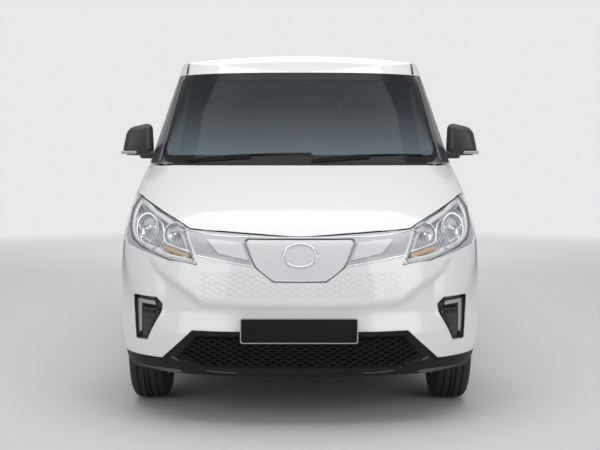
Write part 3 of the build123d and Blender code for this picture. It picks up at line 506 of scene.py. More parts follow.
def grained(name, colour, rough, scale, strength, size, detail=2.0, **values):
    """Plastic or rubber with a fine grain."""
    finish = Finish(name, Base_Color=colour, Roughness=rough, **values)
    return finish.bump(finish.noise(scale, detail), strength, size).material


PILLAR_GREY = grained("pillar_moulding", (0.06, 0.062, 0.068, 1), 0.35, 400.0, 0.05, 0.001)
PILLAR_FOOT, PILLAR_RISE = (0.768, 1.222), (-0.056, 0.505)
for word, side in SIDES:
    line = [(PILLAR_FOOT[0] + PILLAR_RISE[0] * share, PILLAR_FOOT[1] + PILLAR_RISE[1] * share)
            for share in (0.0, 0.2, 0.4, 0.6, 0.8, 1.0)]
    tube(f"pillar_moulding_{word}", on_nose(line, 0.006, side), 0.0105, PILLAR_GREY)

# Cowl: a black grained plastic grille at the foot of the windscreen, between the glass and the bonnet. It
# keeps the CAD shape.
BLACK = grained("black_grained_plastic", (0.010, 0.010, 0.011, 1), 0.5, 900.0, 0.25, 0.0006, 3.0,
                Specular_IOR_Level=0.22)
clad("cowl_panel", "cowl_cover", BLACK, "black_plastic")

# Wipers: two flat arms with rubber blades, parked low on the glass with their pivots in the cowl. An arm
# reaches a little over half way along its blade.
RUBBER = grained("wiper_rubber", (0.015, 0.015, 0.016, 1), 0.6, 300.0, 0.1, 0.0005)
ARM_REACH = 0.55
for name, tip, pivot in (("driver", (0.62, 1.252), (0.06, 1.236)),
                         ("passenger", (0.02, 1.258), (-0.60, 1.234))):
    blade, arm = [], []
    run, climb = tip[0] - pivot[0], tip[1] - pivot[1]
    for share in (0.0, 0.25, 0.5, 0.75, 1.0):
        x = pivot[0] + 0.04 + run * share
        z = pivot[1] + 0.012 + climb * share + 0.008 * math.sin(math.pi * share)
        blade.append((x, nose_y(x, z) - 0.008, z))
        x = pivot[0] + run * share * ARM_REACH
        z = pivot[1] + (climb + 0.02) * share * ARM_REACH
        arm.append((x, nose_y(x, z) - 0.014, z))
    tube(f"wiper_blade_{name}", blade, 0.0045, RUBBER)
    tube(f"wiper_arm_{name}", arm, 0.0048, BLACK)

# Headlamps: a clear moulded cover over a bright bucket with two round reflectors and, low on the inner
# side, an amber indicator. A pale bezel runs round the bucket.
LAMP = [(0.810, 1.056), (0.697, 0.992), (0.542, 0.916), (0.478, 0.752), (0.618, 0.772), (0.760, 0.825),
        (0.813, 0.860), (0.840, 0.918), (0.844, 0.996)]
BUCKET_DEPTH = 0.036


def depth_inside(x, z, outline):
    """Distance from a point inside an outline to its nearest edge; negative outside."""
    inside, nearest = False, 9.0
    for (x1, z1), (x2, z2) in zip(outline, outline[1:] + outline[:1]):
        if (z1 > z) != (z2 > z) and x < (x2 - x1) * (z - z1) / (z2 - z1) + x1:
            inside = not inside
        along = ramp(((x - x1) * (x2 - x1) + (z - z1) * (z2 - z1)) / ((x2 - x1) ** 2 + (z2 - z1) ** 2))
        nearest = min(nearest, math.hypot(x - x1 - along * (x2 - x1), z - z1 - along * (z2 - z1)))
    return nearest if inside else -nearest


def bucket_press(x, y, z):
    """How deep the lamp's bucket is behind its rim."""
    return BUCKET_DEPTH * soft_ramp((depth_inside(abs(x), z, LAMP) - 0.010) / 0.016)


def polished(name, colour, scale, spread, lowest, detail=2.0, **values):
    """Smooth finish whose gloss varies a little."""
    finish = Finish(name, Base_Color=colour, **values)
    return finish.feed(Roughness=finish.noise(scale, detail) * spread + lowest).material


def ribbed(name, colour, axis, pitch, strength, **values):
    """Moulded lens with fine ribs across one axis."""
    finish = Finish(name, Base_Color=colour, **values)
    return finish.bump((finish.place()[axis] * pitch).sine(), strength, 0.001).material


CLEAR = polished("clear_lens", (0.75, 0.8, 0.84, 1), 4.0, 0.02, 0.01, Roughness=0.02, Alpha=0.07,
                 Coat_Weight=0.25, Coat_Roughness=0.02)
BRIGHT = polished("lamp_chrome", (0.82, 0.83, 0.85, 1), 20.0, 0.1, 0.1, Metallic=1.0, Roughness=0.16)
AMBER = ribbed("amber_lens", (0.82, 0.47, 0.20, 1), 0, 1400.0, 0.5, Roughness=0.12, Coat_Weight=1.0,
               Alpha=0.9)
RIM_WHITE = painted("lamp_rim_silver", (0.78, 0.79, 0.81, 1), 0.0)
BUCKET = Finish("lamp_bucket", Base_Color=(0.5, 0.51, 0.53, 1), Roughness=0.2, Metallic=0.35)
across, _, height = BUCKET.place()
ribs = (abs(across) * 380.0 + height * 160.0).sine()
# Painted highlights and shade: the bucket colour turns lighter and darker in step with the bump of its ribs.
BUCKET.feed(Base_Color=BUCKET.mix(ribs * 0.5 + 0.5, (0.40, 0.41, 0.43, 1), (0.66, 0.67, 0.70, 1)))
BUCKET.bump(ribs, 0.4, 0.001)
clad("headlamp_lenses", "headlamp_covers", CLEAR, "clear_lens", (2, 0.02), (0, 0.02))
clad("headlamp_housings", "headlamp_buckets", BUCKET.material, "lamp_bezel", (2, 0.008), (0, 0.008),
     sculpt=bucket_press, inset=0.0043, reach=0.003)


def turned(name, outline, centre, facing, stretch):
    """Bright round piece spun from (radius, forward) pairs, faced and stretched in height."""
    mesh = bmesh.new()
    profile = [mesh.verts.new((radius, 0, forward)) for radius, forward in outline]
    edges = [mesh.edges.new(pair) for pair in zip(profile, profile[1:])]
    bmesh.ops.spin(mesh, geom=profile + edges, cent=(0, 0, 0), axis=(0, 0, 1), angle=math.tau, steps=32,
                   use_merge=True)
    bmesh.ops.remove_doubles(mesh, verts=mesh.verts, dist=0.00001)
    bmesh.ops.recalc_face_normals(mesh, faces=mesh.faces)
    turn = Vector(facing).to_track_quat("Z", "X").to_matrix().to_4x4()
    bmesh.ops.transform(mesh, matrix=Matrix.Translation(centre) @ Matrix.Diagonal((1, 1, stretch, 1)) @ turn,
                        verts=mesh.verts)
    on_body(finished(mesh, name, BRIGHT, angle=40))


BOWL = [(0.004, -0.020), (0.018, -0.019), (0.034, -0.012), (0.046, 0.001), (0.052, 0.012), (0.056, 0.012),
        (0.057, 0.006), (0.048, -0.006), (0.030, -0.022), (0.004, -0.026)]
BULB = [(0.0005, 0.006), (0.007, 0.005), (0.010, 0.0), (0.010, -0.008), (0.016, -0.012), (0.018, -0.022)]
LAMP_MIDDLE = (0.700, 0.893)
RIM_SHRINK = 0.13
BAND_INSET = 0.0042


def walled(mesh, name, material, wall):
    """New piece from a sheet turned to face forwards and thickened backwards."""
    bmesh.ops.recalc_face_normals(mesh, faces=mesh.faces)
    if sum(face.normal.y for face in mesh.faces) > 0:
        bmesh.ops.reverse_faces(mesh, faces=mesh.faces)
    sheet = finished(mesh, name, material)
    thick = sheet.modifiers.new("wall", "SOLIDIFY")
    thick.thickness = wall
    thick.offset = -1
    on_body(sheet)


def skin_strip(name, line, half):
    """Silver band of even width that follows a line on the nose."""
    mesh = bmesh.new()
    rails = [[mesh.verts.new((x, nose_y(x, z + lift, BAND_INSET), z + lift)) for x, z in line]
             for lift in (-half, half)]
    edges = [mesh.edges.new(pair) for rail in rails for pair in zip(rail, rail[1:])]
    bmesh.ops.bridge_loops(mesh, edges=edges)
    walled(mesh, name, RIM_WHITE, 0.004)


for word, side in SIDES:
    for role, x, z, size, tall in (("main", 0.738, 0.903, 0.98, 1.42), ("dip", 0.590, 0.884, 1.0, 1.05)):
        spot = (side * x, nose_y(x, z, 0.026), z)
        facing = (side * 0.12, -1.0, 0.10)
        turned(f"reflector_{role}_{word}", [(r * size, f) for r, f in BOWL], spot, facing, tall)
        turned(f"bulb_{role}_{word}", BULB, spot, facing, 1.0)
    amber_line = on_nose(((0.632, 0.822), (0.575, 0.803), (0.515, 0.788)), 0.016, side)
    tube(f"indicator_{word}", amber_line, 0.0105, AMBER)
    bezel_line = on_nose(((0.803, 1.040), (0.76, 1.005), (0.70, 0.962), (0.655, 0.925), (0.645, 0.86),
                          (0.635, 0.842), (0.575, 0.824), (0.512, 0.808)), 0.010, side)
    tube(f"lamp_bezel_{word}", bezel_line, 0.0055, BRIGHT)
    rim = [(x + (LAMP_MIDDLE[0] - x) * RIM_SHRINK, z + (LAMP_MIDDLE[1] - z) * RIM_SHRINK) for x, z in LAMP]
    tube(f"lamp_rim_{word}", on_nose(rim, 0.010, side), 0.0085, RIM_WHITE, closed=True)
    brow = [(0.798, 1.032), (0.745, 1.002), (0.697, 0.975), (0.62, 0.937), (0.552, 0.902)]
    skin_strip(f"lamp_brow_{word}", [(side * x, z) for x, z in brow], 0.0095)
    skirt = [(0.828, 0.985), (0.824, 0.925), (0.800, 0.874), (0.752, 0.842), (0.62, 0.790), (0.500, 0.770)]
    skin_strip(f"lamp_skirt_{word}", [(side * x, z) for x, z in skirt], 0.0075)

# Lamp seals: thin black rubber cords, pressed into the shut line round each headlamp so that no light or
# water gets past the cover.
for word, side in SIDES:
    tube(f"lamp_seal_{word}", on_nose(LAMP, -0.0008, side), 0.0024, RUBBER, closed=True,
         smooth=False)

# Bright mouldings: a silver line under the bonnet's edge, one along the foot of each grille strip and two
# down the edges of the charging flap. They are thin plated plastic, clipped on.
SILVER = polished("satin_silver", (0.78, 0.79, 0.80, 1), 60.0, 0.08, 0.18, Metallic=1.0, Roughness=0.22)
BONNET_EDGE = [(0.540, 0.908), (0.46, 0.893), (0.36, 0.882), (0.26, 0.878), (0.0, 0.877)]
edge_line = BONNET_EDGE + [(-x, z) for x, z in BONNET_EDGE[-2::-1]]
tube("bonnet_edge_moulding", on_nose(edge_line, 0.001), 0.0048, SILVER)
for word, side in SIDES:
    foot = on_nose(((0.478, 0.793), (0.40, 0.779), (0.30, 0.762), (0.213, 0.748)), 0.001, side)
    tube(f"grille_foot_moulding_{word}", foot, 0.0042, SILVER)
for word, side in SIDES:
    edge = on_nose(((0.256, 0.862), (0.243, 0.83), (0.205, 0.757), (0.19, 0.738), (0.13, 0.692),
                    (0.11, 0.684), (0.0, 0.684)), 0.0005, side)
    tube(f"flap_edge_moulding_{word}", edge, 0.0022, SILVER, "charge_flap")

# Lower intake: black grained plastic, set back inside its frame, with a mesh of long hexagon cells. It is
# clipped into the bumper, and a dark grey lip runs along its foot.
MESH_AREA = [(-0.486, 0.433), (0.486, 0.433), (0.583, 0.315), (0.455, 0.268), (-0.455, 0.268),
             (-0.583, 0.315)]


def intake_press(x, y, z):
    """How deep the intake is behind its frame, and the flat behind the number plate."""
    share = ramp((depth_inside(x, z, MESH_AREA) - 0.004) / 0.010)
    lip = 0.010 * ramp((0.252 - z) / 0.03)
    plate = PLATE_FLAT if abs(x) < PLATE_HALF and z > 0.393 else 0.0
    return max(0.020 * share + lip, plate)


clad("lower_grille", "lower_intake", BLACK, "black_plastic", (2, 0.010), (0, 0.020), sculpt=intake_press)
CELL = (0.050, 0.0245)
CELL_ROWS, CELL_COLUMNS = 8, 13
shrink = Matrix.Diagonal((CELL[0] / 2 * 0.98, CELL[1] / 2 * 1.04, 1, 1))
cells = bmesh.new()
for row in range(-CELL_ROWS, CELL_ROWS + 1):
    for column in range(-CELL_COLUMNS, CELL_COLUMNS + 1):
        x = column * CELL[0] + (row % 2) * CELL[0] / 2
        z = 0.350 + row * CELL[1] / 2 * 1.06
        if row % 2 and column == CELL_COLUMNS or depth_inside(x, z, MESH_AREA) < 0.012:
            continue
        made = bmesh.ops.create_circle(cells, cap_ends=True, segments=6, radius=1.0)
        bmesh.ops.transform(cells, matrix=Matrix.Translation((x, z, 0)) @ shrink, verts=made["verts"])
inset = bmesh.ops.inset_individual(cells, faces=cells.faces[:], thickness=0.0028, depth=0)
rims = set(inset["faces"])
bmesh.ops.delete(cells, geom=[face for face in cells.faces if face not in rims], context="FACES_ONLY")
for vertex in cells.verts:
    x, z = vertex.co.x, vertex.co.y
    vertex.co = (x, nose_y(x, z, 0.005), z)
walled(cells, "intake_mesh", BLACK, 0.014)
LIP = grained("lip_plastic", (0.105, 0.107, 0.113, 1), 0.45, 700.0, 0.1, 0.0006)
lip_line = ((-0.60, 0.318), (-0.47, 0.262), (-0.3, 0.255), (0, 0.253), (0.3, 0.255), (0.47, 0.262),
            (0.60, 0.318))
tube("intake_lip", on_nose(lip_line, 0.001), 0.005, LIP)

# Grille windows and lip wings: a pale gloss panel let into each grille strip, and a thin dark wing under
# each bumper corner. Both are moulded sheets that follow the nose and are clipped to it.
WINDOW = [(0.274, 0.858), (0.350, 0.866), (0.428, 0.872), (0.436, 0.866), (0.380, 0.808), (0.300, 0.789),
          (0.236, 0.778)]
WING = [(0.846, 0.309), (0.640, 0.296), (0.545, 0.243), (0.60, 0.236), (0.860, 0.262)]


def skin_patch(name, outline, side, inset, grid, material, wall=0.003):
    """Thin sheet on the nose inside an outline in the front view."""
    mesh = bmesh.new()
    mesh.faces.new([mesh.verts.new((side * x, 0, z)) for x, z in outline])
    sliced(mesh, 0, grid)
    sliced(mesh, 2, grid)
    for vertex in mesh.verts:
        vertex.co.y = nose_y(vertex.co.x, vertex.co.z, inset)
    walled(mesh, name, material, wall)


for word, side in SIDES:
    skin_patch(f"grille_window_{word}", WINDOW, side, -0.0050, 0.008, FAINT_GREY,
               wall=0.009)
for word, side in SIDES:
    skin_patch(f"lip_wing_{word}", WING, side, 0.0002, 0.02, LIP)

# Number plate: a blank black plate in a thin pale frame, flat against the bumper. The frame is screwed to
# the bumper, and the plate snaps into it.
PLATE = polished("plate_black", (0.004, 0.0045, 0.006, 1), 40.0, 0.1, 0.45, Roughness=0.45,
                 Specular_IOR_Level=0.25)
FRAME_GREY = grained("plate_frame_grey", (0.42, 0.43, 0.44, 1), 0.4, 200.0, 0.05, 0.0005)


def rounded_plate(name, width, height, wall, centre, radius, material, body="van_body"):
    """Flat plate with rounded corners, facing forwards."""
    mesh = bmesh.new()
    bmesh.ops.create_cube(mesh, size=1.0)
    bmesh.ops.transform(mesh, matrix=Matrix.Diagonal((width, wall, height, 1)), verts=mesh.verts)
    upright = [edge for edge in mesh.edges if abs((edge.verts[0].co - edge.verts[1].co).y) > wall / 2]
    bmesh.ops.bevel(mesh, geom=upright, offset=radius, segments=5, profile=0.5, affect="EDGES", material=-1)
    rim = [edge for edge in mesh.edges if abs((edge.verts[0].co - edge.verts[1].co).y) < wall / 4]
    bmesh.ops.bevel(mesh, geom=rim, offset=min(0.001, wall / 4), segments=2, profile=0.5, affect="EDGES",
                    material=-1)
    bmesh.ops.transform(mesh, matrix=Matrix.Translation(centre), verts=mesh.verts)
    on_body(finished(mesh, name, material), body)


rounded_plate("front_plate_frame", 0.540, 0.118, 0.006, (-0.004, FRONT + 0.0052, 0.458), 0.012,
              FRAME_GREY)
rounded_plate("front_plate", 0.530, 0.108, 0.006, (-0.004, FRONT + 0.0036, 0.458), 0.009, PLATE)

# Daylight lamps: black pockets in the bumper corners with a pale L of light and dark ribs beside it. The
# pocket is one gloss moulding pushed in from behind, and the light bar is a ribbed lens.
POCKET = [(0.793, 0.600), (0.682, 0.595), (0.653, 0.564), (0.657, 0.529), (0.722, 0.389), (0.782, 0.388)]


def pocket_press(x, y, z):
    """How deep the pocket is inside its rim."""
    return 0.010 * ramp((depth_inside(abs(x), z, POCKET) - 0.006) / 0.006)


GLOSS_BLACK = polished("gloss_black_plastic", (0.01, 0.01, 0.012, 1), 30.0, 0.1, 0.1, Roughness=0.14,
                       Coat_Weight=0.5)
LIGHT_BAR = ribbed("light_bar", (0.42, 0.43, 0.45, 1), 2, 1500.0, 0.3, Roughness=0.2, Coat_Weight=1.0)
clad("daylight_lamps", "daylight_pockets", GLOSS_BLACK, "black_plastic", (2, 0.006), (0, 0.006),
     sculpt=pocket_press, inset=0.012)
BAR = [(0.775, 0.580), (0.690, 0.575), (0.682, 0.563), (0.682, 0.556), (0.757, 0.560), (0.757, 0.422),
       (0.771, 0.422)]
RIB_END = 0.752
RIBS = ((0.535, 0.672), (0.508, 0.682), (0.481, 0.694), (0.454, 0.706), (0.427, 0.718))
for word, side in SIDES:
    skin_patch(f"daylight_bar_{word}", BAR, side, 0.014, 0.015, LIGHT_BAR, wall=0.008)
    for index, (z, inner) in enumerate(RIBS):
        rib = on_nose([(x, z) for x in (RIB_END, (RIB_END + inner) / 2, inner)], 0.017, side)
        tube(f"daylight_rib_{word}_{index}", rib, 0.003, PILLAR_GREY)

# Flap seal: a grey rubber bead in the gap round the charging flap. It sits in the panel and follows the
# flap's own outline, a little way outside it.
flap_shape = merged_copy("charge_flap")
flat = sorted({(round(vertex.co.x, 4), round(vertex.co.z, 4)) for vertex in flap_shape.verts})
flap_shape.free()
hull = []
for way in (flat, flat[::-1]):
    chain = []
    for point in way:
        while len(chain) > 1 and ((chain[-1][0] - chain[-2][0]) * (point[1] - chain[-2][1])
                                  - (chain[-1][1] - chain[-2][1]) * (point[0] - chain[-2][0])) <= 0:
            chain.pop()
        chain.append(point)
    hull += chain[:-1]
SEAL = grained("seal_grey", (0.22, 0.225, 0.235, 1), 0.6, 300.0, 0.05, 0.0005)
SEAL_GAP = 0.0035
FLAP_MIDDLE = 0.79
bead = []
for x, z in hull:
    away = Vector((x, z - FLAP_MIDDLE)).normalized() * SEAL_GAP
    bead.append((x + away.x, z + away.y))
tube("flap_seal", on_nose(bead, SEAL_GAP), 0.0032, SEAL, closed=True, smooth=False)

# Flap ring: a plain bright oval ring of plated plastic in the middle of the charging flap. It is pressed on
# and bears no sign.
RING_MIDDLE = 0.797
RING_HALF = (0.078, 0.052)
RING_STEPS = 24
turns = [math.tau * step / RING_STEPS for step in range(RING_STEPS)]
ring = [(RING_HALF[0] * math.cos(turn), RING_MIDDLE + RING_HALF[1] * math.sin(turn)) for turn in turns]
tube("flap_ring", on_nose(ring, 0.001), 0.0065, BRIGHT, "charge_flap", closed=True)

# Door mirrors: a dark moulded shell on a short foot, with a clear indicator at its lower outer end and a
# silvered glass behind.
SHELL = grained("mirror_shell", (0.04, 0.041, 0.045, 1), 0.33, 500.0, 0.06, 0.0006)
SILVERED = polished("silvered_glass", (0.8, 0.82, 0.84, 1), 8.0, 0.02, 0.02, Metallic=1.0, Roughness=0.03)


def soft_box(name, low, high, radius, material, body="van_body", taper=None, rounds=5):
    """Box with rounded edges, reshaped first by taper(mesh) where given."""
    mesh = bmesh.new()
    bmesh.ops.create_cube(mesh, size=1.0)
    size, middle = Vector(high) - Vector(low), (Vector(high) + Vector(low)) / 2
    place = Matrix.Translation(middle) @ Matrix.Diagonal((*size, 1))
    bmesh.ops.transform(mesh, matrix=place, verts=mesh.verts)
    if taper:
        taper(mesh)
    bmesh.ops.bevel(mesh, geom=mesh.edges[:], offset=radius, segments=rounds, profile=0.5, affect="EDGES",
                    material=-1)
    return on_body(finished(mesh, name, material, angle=50), body)


def mirror_taper(mesh):
    """Slopes the shell's top down to its outer end and leans its front back."""
    for vertex in mesh.verts:
        side = 1 if vertex.co.x > 0 else -1
        outer = abs(vertex.co.x) > 0.93
        if vertex.co.z > 1.35:
            vertex.co.x -= side * (0.030 if outer else -0.008)
            vertex.co.z -= 0.034 if outer else 0.0
            vertex.co.y += 0.014 if vertex.co.y < -1.05 else 0.0
        elif not outer:
            vertex.co.z -= 0.004


for word, side in SIDES:
    door = f"front_door_{word}"
    low, high = sorted((side * 0.824, side * 1.003))
    head = soft_box(f"mirror_shell_{word}", (low, -1.098, 1.262), (high, -0.994, 1.448), 0.040, SHELL,
                    door, taper=mirror_taper)
    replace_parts(head, f"mirror_{word}")
    low, high = sorted((side * 0.800, side * 0.900))
    soft_box(f"mirror_foot_{word}", (low, -1.085, 1.243), (high, -1.020, 1.286), 0.014, SHELL,
             door)
    low, high = sorted((side * 0.915, side * 1.0035))
    soft_box(f"mirror_indicator_{word}", (low, -1.0985, 1.268), (high, -1.050, 1.286), 0.008, LIGHT_BAR,
             door)
    rounded_plate(f"mirror_glass_{word}", 0.118, 0.122, 0.004, (side * 0.915, -0.9935, 1.345), 0.022,
                  SILVERED, door)

# Door glass: tempered panes in black rubber channels, with the same tint as the windscreen. A channel runs
# round the edge of its pane.
SIDE_GLASS = tinted("door_glass", (0.03, 0.042, 0.048, 1), 0.55)
SIDE_GLASS.feed(Roughness=SIDE_GLASS.noise(2.0) * 0.02 + 0.02)
for word in ("left", "right"):
    door = f"front_door_{word}"
    shape = merged_copy(f"door_glass_{word}")
    pane_face = max(shape.faces, key=lambda face: face.calc_area())
    border = [tuple(vertex.co) for vertex in pane_face.verts]
    pane = finished(shape, f"door_pane_{word}", SIDE_GLASS.material)
    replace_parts(on_body(pane, door), f"door_glass_{word}")
    tube(f"window_rubber_{word}", border, 0.007, RUBBER, door, closed=True, smooth=False)

# Door handles: body-coloured pull bows over shallow dark cups. Both are plastic, screwed on from inside the
# door, and the sliding door's bow stands upright.
HANDLE_LENGTH = 0.185
HANDLE_HEIGHT = 1.02
side_x = float(half_width(HANDLE_HEIGHT)) + 0.0005


def pull_handle(name, side, y, body, upright=False):
    """Bow handle over its cup, on one side of the van."""
    for part, reach, wide, lift, material, slot in (("cup", 0.0015, 0.052, 0.0, BLACK, "black_plastic"),
                                                    ("bow", 0.022, 0.022, 0.012, WHITE, "white_paint")):
        half, tall = (wide / 2, HANDLE_LENGTH / 2) if upright else (HANDLE_LENGTH / 2, wide / 2)
        low, high = sorted((side * (side_x - 0.02 + lift), side * (side_x + reach)))
        soft_box(f"{name}_{part}", (low, y - half, HANDLE_HEIGHT - tall),
                 (high, y + half, HANDLE_HEIGHT + tall), min(0.009, (high - low) / 2.2), material,
                 body, rounds=3)


pull_handle("handle_left", 1, -0.245, "front_door_left")
pull_handle("handle_right", -1, -0.245, "front_door_right")
pull_handle("handle_slide", -1, 0.03, "van_body", upright=True)

# Sliding-door rail: a slot, dark inside, along the right side that the door's middle roller runs in. It is
# shown as a flat black strip let into the side: painted shade standing in for the dark inside of the slot.
rail_x = float(half_width(1.06))
soft_box("rail_slot_shade_strip", (-rail_x - 0.003, 0.785, 1.045), (-rail_x + 0.02, 1.90, 1.075), 0.004, BLACK,
         rounds=2)

# Tail lamps: upright red lenses with a clear and an amber band, wrapped round the rear corners. They are
# moulded in one piece and screwed to the body.
LENS_RED = (0.42, 0.008, 0.010, 1)
TAIL = Finish("tail_lens", Base_Color=LENS_RED, Roughness=0.08, Coat_Weight=1.0, Coat_Roughness=0.03)
across, _, height = TAIL.place()
amber_band = (height > 0.945) * (height < 1.005)
clear_band = (height > 0.875) * (height < 0.941)
two = TAIL.mix(amber_band, LENS_RED, (0.62, 0.20, 0.02, 1))
TAIL.feed(Base_Color=TAIL.mix(clear_band, two, (0.62, 0.62, 0.63, 1)))
TAIL.bump((height * 800.0).sine() * (across * 800.0).sine(), 0.25, 0.001)
clad("tail_lamps", "tail_lenses", TAIL.material, "red_lens", angle=20)

# Rear door furniture: pressed panels on both doors, a blank plate under a lamp bar on the left one and a
# handle on the right one. A stop lamp is over the doors, and a step and reflectors are on the bumper.
STOP_RED = ribbed("stop_lamp", (0.35, 0.006, 0.008, 1), 0, 500.0, 0.3, Roughness=0.15, Coat_Weight=1.0)
DOOR_MIDDLE = 0.345
DOOR_FACE = 2.2215
for word, side in SIDES:
    door, x = f"rear_door_{word}", side * DOOR_MIDDLE
    rounded_plate(f"rear_press_{word}", 0.50, 0.36, 0.010, (x, DOOR_FACE, 1.500), 0.05, WHITE,
                  door)
    rounded_plate(f"rear_low_press_{word}", 0.50, 0.20, 0.008, (x, DOOR_FACE, 1.115), 0.04, WHITE,
                  door)
rounded_plate("rear_plate_frame", 0.535, 0.122, 0.008, (DOOR_MIDDLE, 2.2262, 0.800), 0.012, FRAME_GREY,
              "rear_door_left")
rounded_plate("rear_plate", 0.520, 0.108, 0.008, (DOOR_MIDDLE, 2.2290, 0.800), 0.009, PLATE,
              "rear_door_left")
soft_box("plate_lamp_bar", (0.195, 2.215, 0.885), (0.495, 2.240, 0.920), 0.008, WHITE,
         "rear_door_left")
soft_box("rear_handle_cup", (-0.150, DOOR_FACE, 0.955), (-0.030, 2.2245, 1.005), 0.0012, BLACK,
         "rear_door_right", rounds=2)
soft_box("rear_handle", (-0.140, 2.228, 0.968), (-0.040, 2.246, 0.990), 0.007, BLACK,
         "rear_door_right", rounds=3)
soft_box("high_stop_lamp", (-0.16, 2.170, 1.812), (0.16, 2.196, 1.832), 0.005, STOP_RED,
         rounds=2)
soft_box("bumper_step", (-0.62, 2.215, 0.548), (0.62, 2.272, 0.5635), 0.005, BLACK,
         rounds=2)
for word, side in SIDES:
    rounded_plate(f"rear_reflector_{word}", 0.11, 0.035, 0.006, (side * 0.62, REAR - 0.0036, 0.40), 0.008,
                  STOP_RED)

# Roof channels: black rubber strips pressed into the roof's two long channels. A strip follows the floor of
# its channel.
ROOF_CHANNEL = 0.677
roof_tree = BVHTree.FromBMesh(merged_copy("roof_panel"))
for word, side in SIDES:
    strip = []
    for step in range(24):
        y = -0.745 + step * 0.124
        hit = roof_tree.ray_cast(Vector((side * ROOF_CHANNEL, y, 3.0)), Vector((0, 0, -1)))
        if hit[0]:
            strip.append((side * ROOF_CHANNEL, y, hit[0].z + 0.004))
    tube(f"roof_strip_{word}", strip, 0.0055, RUBBER)

# Tyres: radial van tyres of black rubber, seated on the wheels' rims, with four grooves round the tread
# and short grooves across both shoulders.
TYRE = Finish("tyre_rubber", Base_Color=(0.017, 0.017, 0.018, 1), Roughness=0.75)
dust = TYRE.noise(12.0, 4.0)
TYRE.feed(Base_Color=TYRE.mix(dust * 0.5, (0.013, 0.013, 0.014, 1), (0.05, 0.048, 0.045, 1)),
          Roughness=dust * 0.2 + 0.62)
HALF_TREAD = [(0.192, 0.066), (0.196, 0.083), (0.215, 0.0900), (0.219, 0.0912), (0.246, 0.0925),
              (0.251, 0.0910), (0.282, 0.0885), (0.296, 0.0815), (0.3040, 0.0745), (0.3085, 0.064),
              (0.3097, 0.0505), (0.3020, 0.0485), (0.3020, 0.0415), (0.3105, 0.0395), (0.3108, 0.0160),
              (0.3030, 0.0140), (0.3030, 0.0070), (0.3110, 0.0050)]
HALF_TRACK = 0.767
AXLE_HEIGHT = 0.311
TREAD_STEPS = 180
SHOULDER_CUT = 0.006
AXLES = (("front", FRONT + 0.74), ("rear", REAR - 0.905))
WHEELS = {f"{end}_{word}": (side * HALF_TRACK, y) for end, y in AXLES for word, side in SIDES}
for name, (x, y) in WHEELS.items():
    mesh = bmesh.new()
    outline = HALF_TREAD + [(r, -o) for r, o in reversed(HALF_TREAD)]
    loop = [mesh.verts.new((o, 0, r)) for r, o in outline]
    edges = [mesh.edges.new(pair) for pair in zip(loop, loop[1:] + loop[:1])]
    bmesh.ops.spin(mesh, geom=loop + edges, cent=(0, 0, 0), axis=(1, 0, 0), angle=math.tau,
                   steps=TREAD_STEPS, use_merge=True)
    bmesh.ops.remove_doubles(mesh, verts=mesh.verts, dist=0.00001)
    bmesh.ops.recalc_face_normals(mesh, faces=mesh.faces)
    for vertex in mesh.verts:
        radius = math.hypot(vertex.co.y, vertex.co.z)
        turn = round(math.atan2(vertex.co.z, vertex.co.y) / math.tau * TREAD_STEPS)
        if radius > 0.295 and abs(vertex.co.x) > 0.050 and turn % 3 == 0:
            vertex.co.y *= 1 - SHOULDER_CUT / radius
            vertex.co.z *= 1 - SHOULDER_CUT / radius
    bmesh.ops.translate(mesh, vec=(x, y, AXLE_HEIGHT), verts=mesh.verts)
    rubber = finished(mesh, f"tread_{name}", TYRE.material, angle=35)
    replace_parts(on_body(rubber, f"wheel_{name}"), f"tyre_{name}")

# Wheels: pressed steel discs in silver paint, with five nuts and a plain centre cap. The nuts hold the disc
# to its hub, and the cap is pushed in.
STEEL = polished("wheel_silver", (0.36, 0.365, 0.375, 1), 25.0, 0.15, 0.3, 3.0, Metallic=0.7, Roughness=0.38)
NUT = polished("wheel_nut_steel", (0.25, 0.25, 0.26, 1), 200.0, 0.2, 0.3, Metallic=1.0, Roughness=0.4)
NUTS = 5
NUT_CIRCLE = 0.054
for name, (x, y) in WHEELS.items():
    out = 1 if x > 0 else -1
    body = f"wheel_{name}"
    shape = merged_copy(f"wheel_{name}")
    disc = BVHTree.FromBMesh(shape)
    steel = finished(shape, f"steel_wheel_{name}", STEEL)
    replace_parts(on_body(steel, body), f"wheel_{name}")

    def face_at(dy, dz):
        hit = disc.ray_cast(Vector((x + out * 0.3, y + dy, AXLE_HEIGHT + dz)), Vector((-out, 0, 0)))
        return hit[0].x if hit[0] else x + out * 0.03

    cap = bmesh.new()
    bmesh.ops.create_cone(cap, cap_ends=True, segments=32, radius1=0.031, radius2=0.026, depth=0.016)
    bmesh.ops.bevel(cap, geom=[edge for edge in cap.edges if edge.calc_length() < 0.01], offset=0.003,
                    segments=3, profile=0.5, affect="EDGES", material=-1)
    sideways = Matrix.Rotation(out * math.pi / 2, 4, "Y")
    spot = Matrix.Translation((face_at(0.02, 0) + out * 0.006, y, AXLE_HEIGHT))
    bmesh.ops.transform(cap, matrix=spot @ sideways, verts=cap.verts)
    on_body(finished(cap, f"hub_cap_{name}", SHELL), body)
    nuts = bmesh.new()
    for index in range(NUTS):
        turn = math.tau * index / NUTS
        dy, dz = NUT_CIRCLE * math.sin(turn), NUT_CIRCLE * math.cos(turn)
        made = bmesh.ops.create_cone(nuts, cap_ends=True, segments=6, radius1=0.0105, radius2=0.0095,
                                     depth=0.018)
        spot = Matrix.Translation((face_at(dy, dz) + out * 0.008, y + dy, AXLE_HEIGHT + dz))
        bmesh.ops.transform(nuts, matrix=spot @ sideways, verts=made["verts"])
    on_body(finished(nuts, f"wheel_nuts_{name}", NUT), body)

# Inner and under-body parts keep their CAD shape: primed sheet, black chassis paint, castings, and moulded
# trim in the cab.
def coated(material, *nodes):
    """Gives CAD nodes a finish."""
    for node in nodes:
        piece = frame["nodes"][node]
        if not piece.material_slots:
            piece.data.materials.append(material)
        for place in piece.material_slots:
            place.material = material


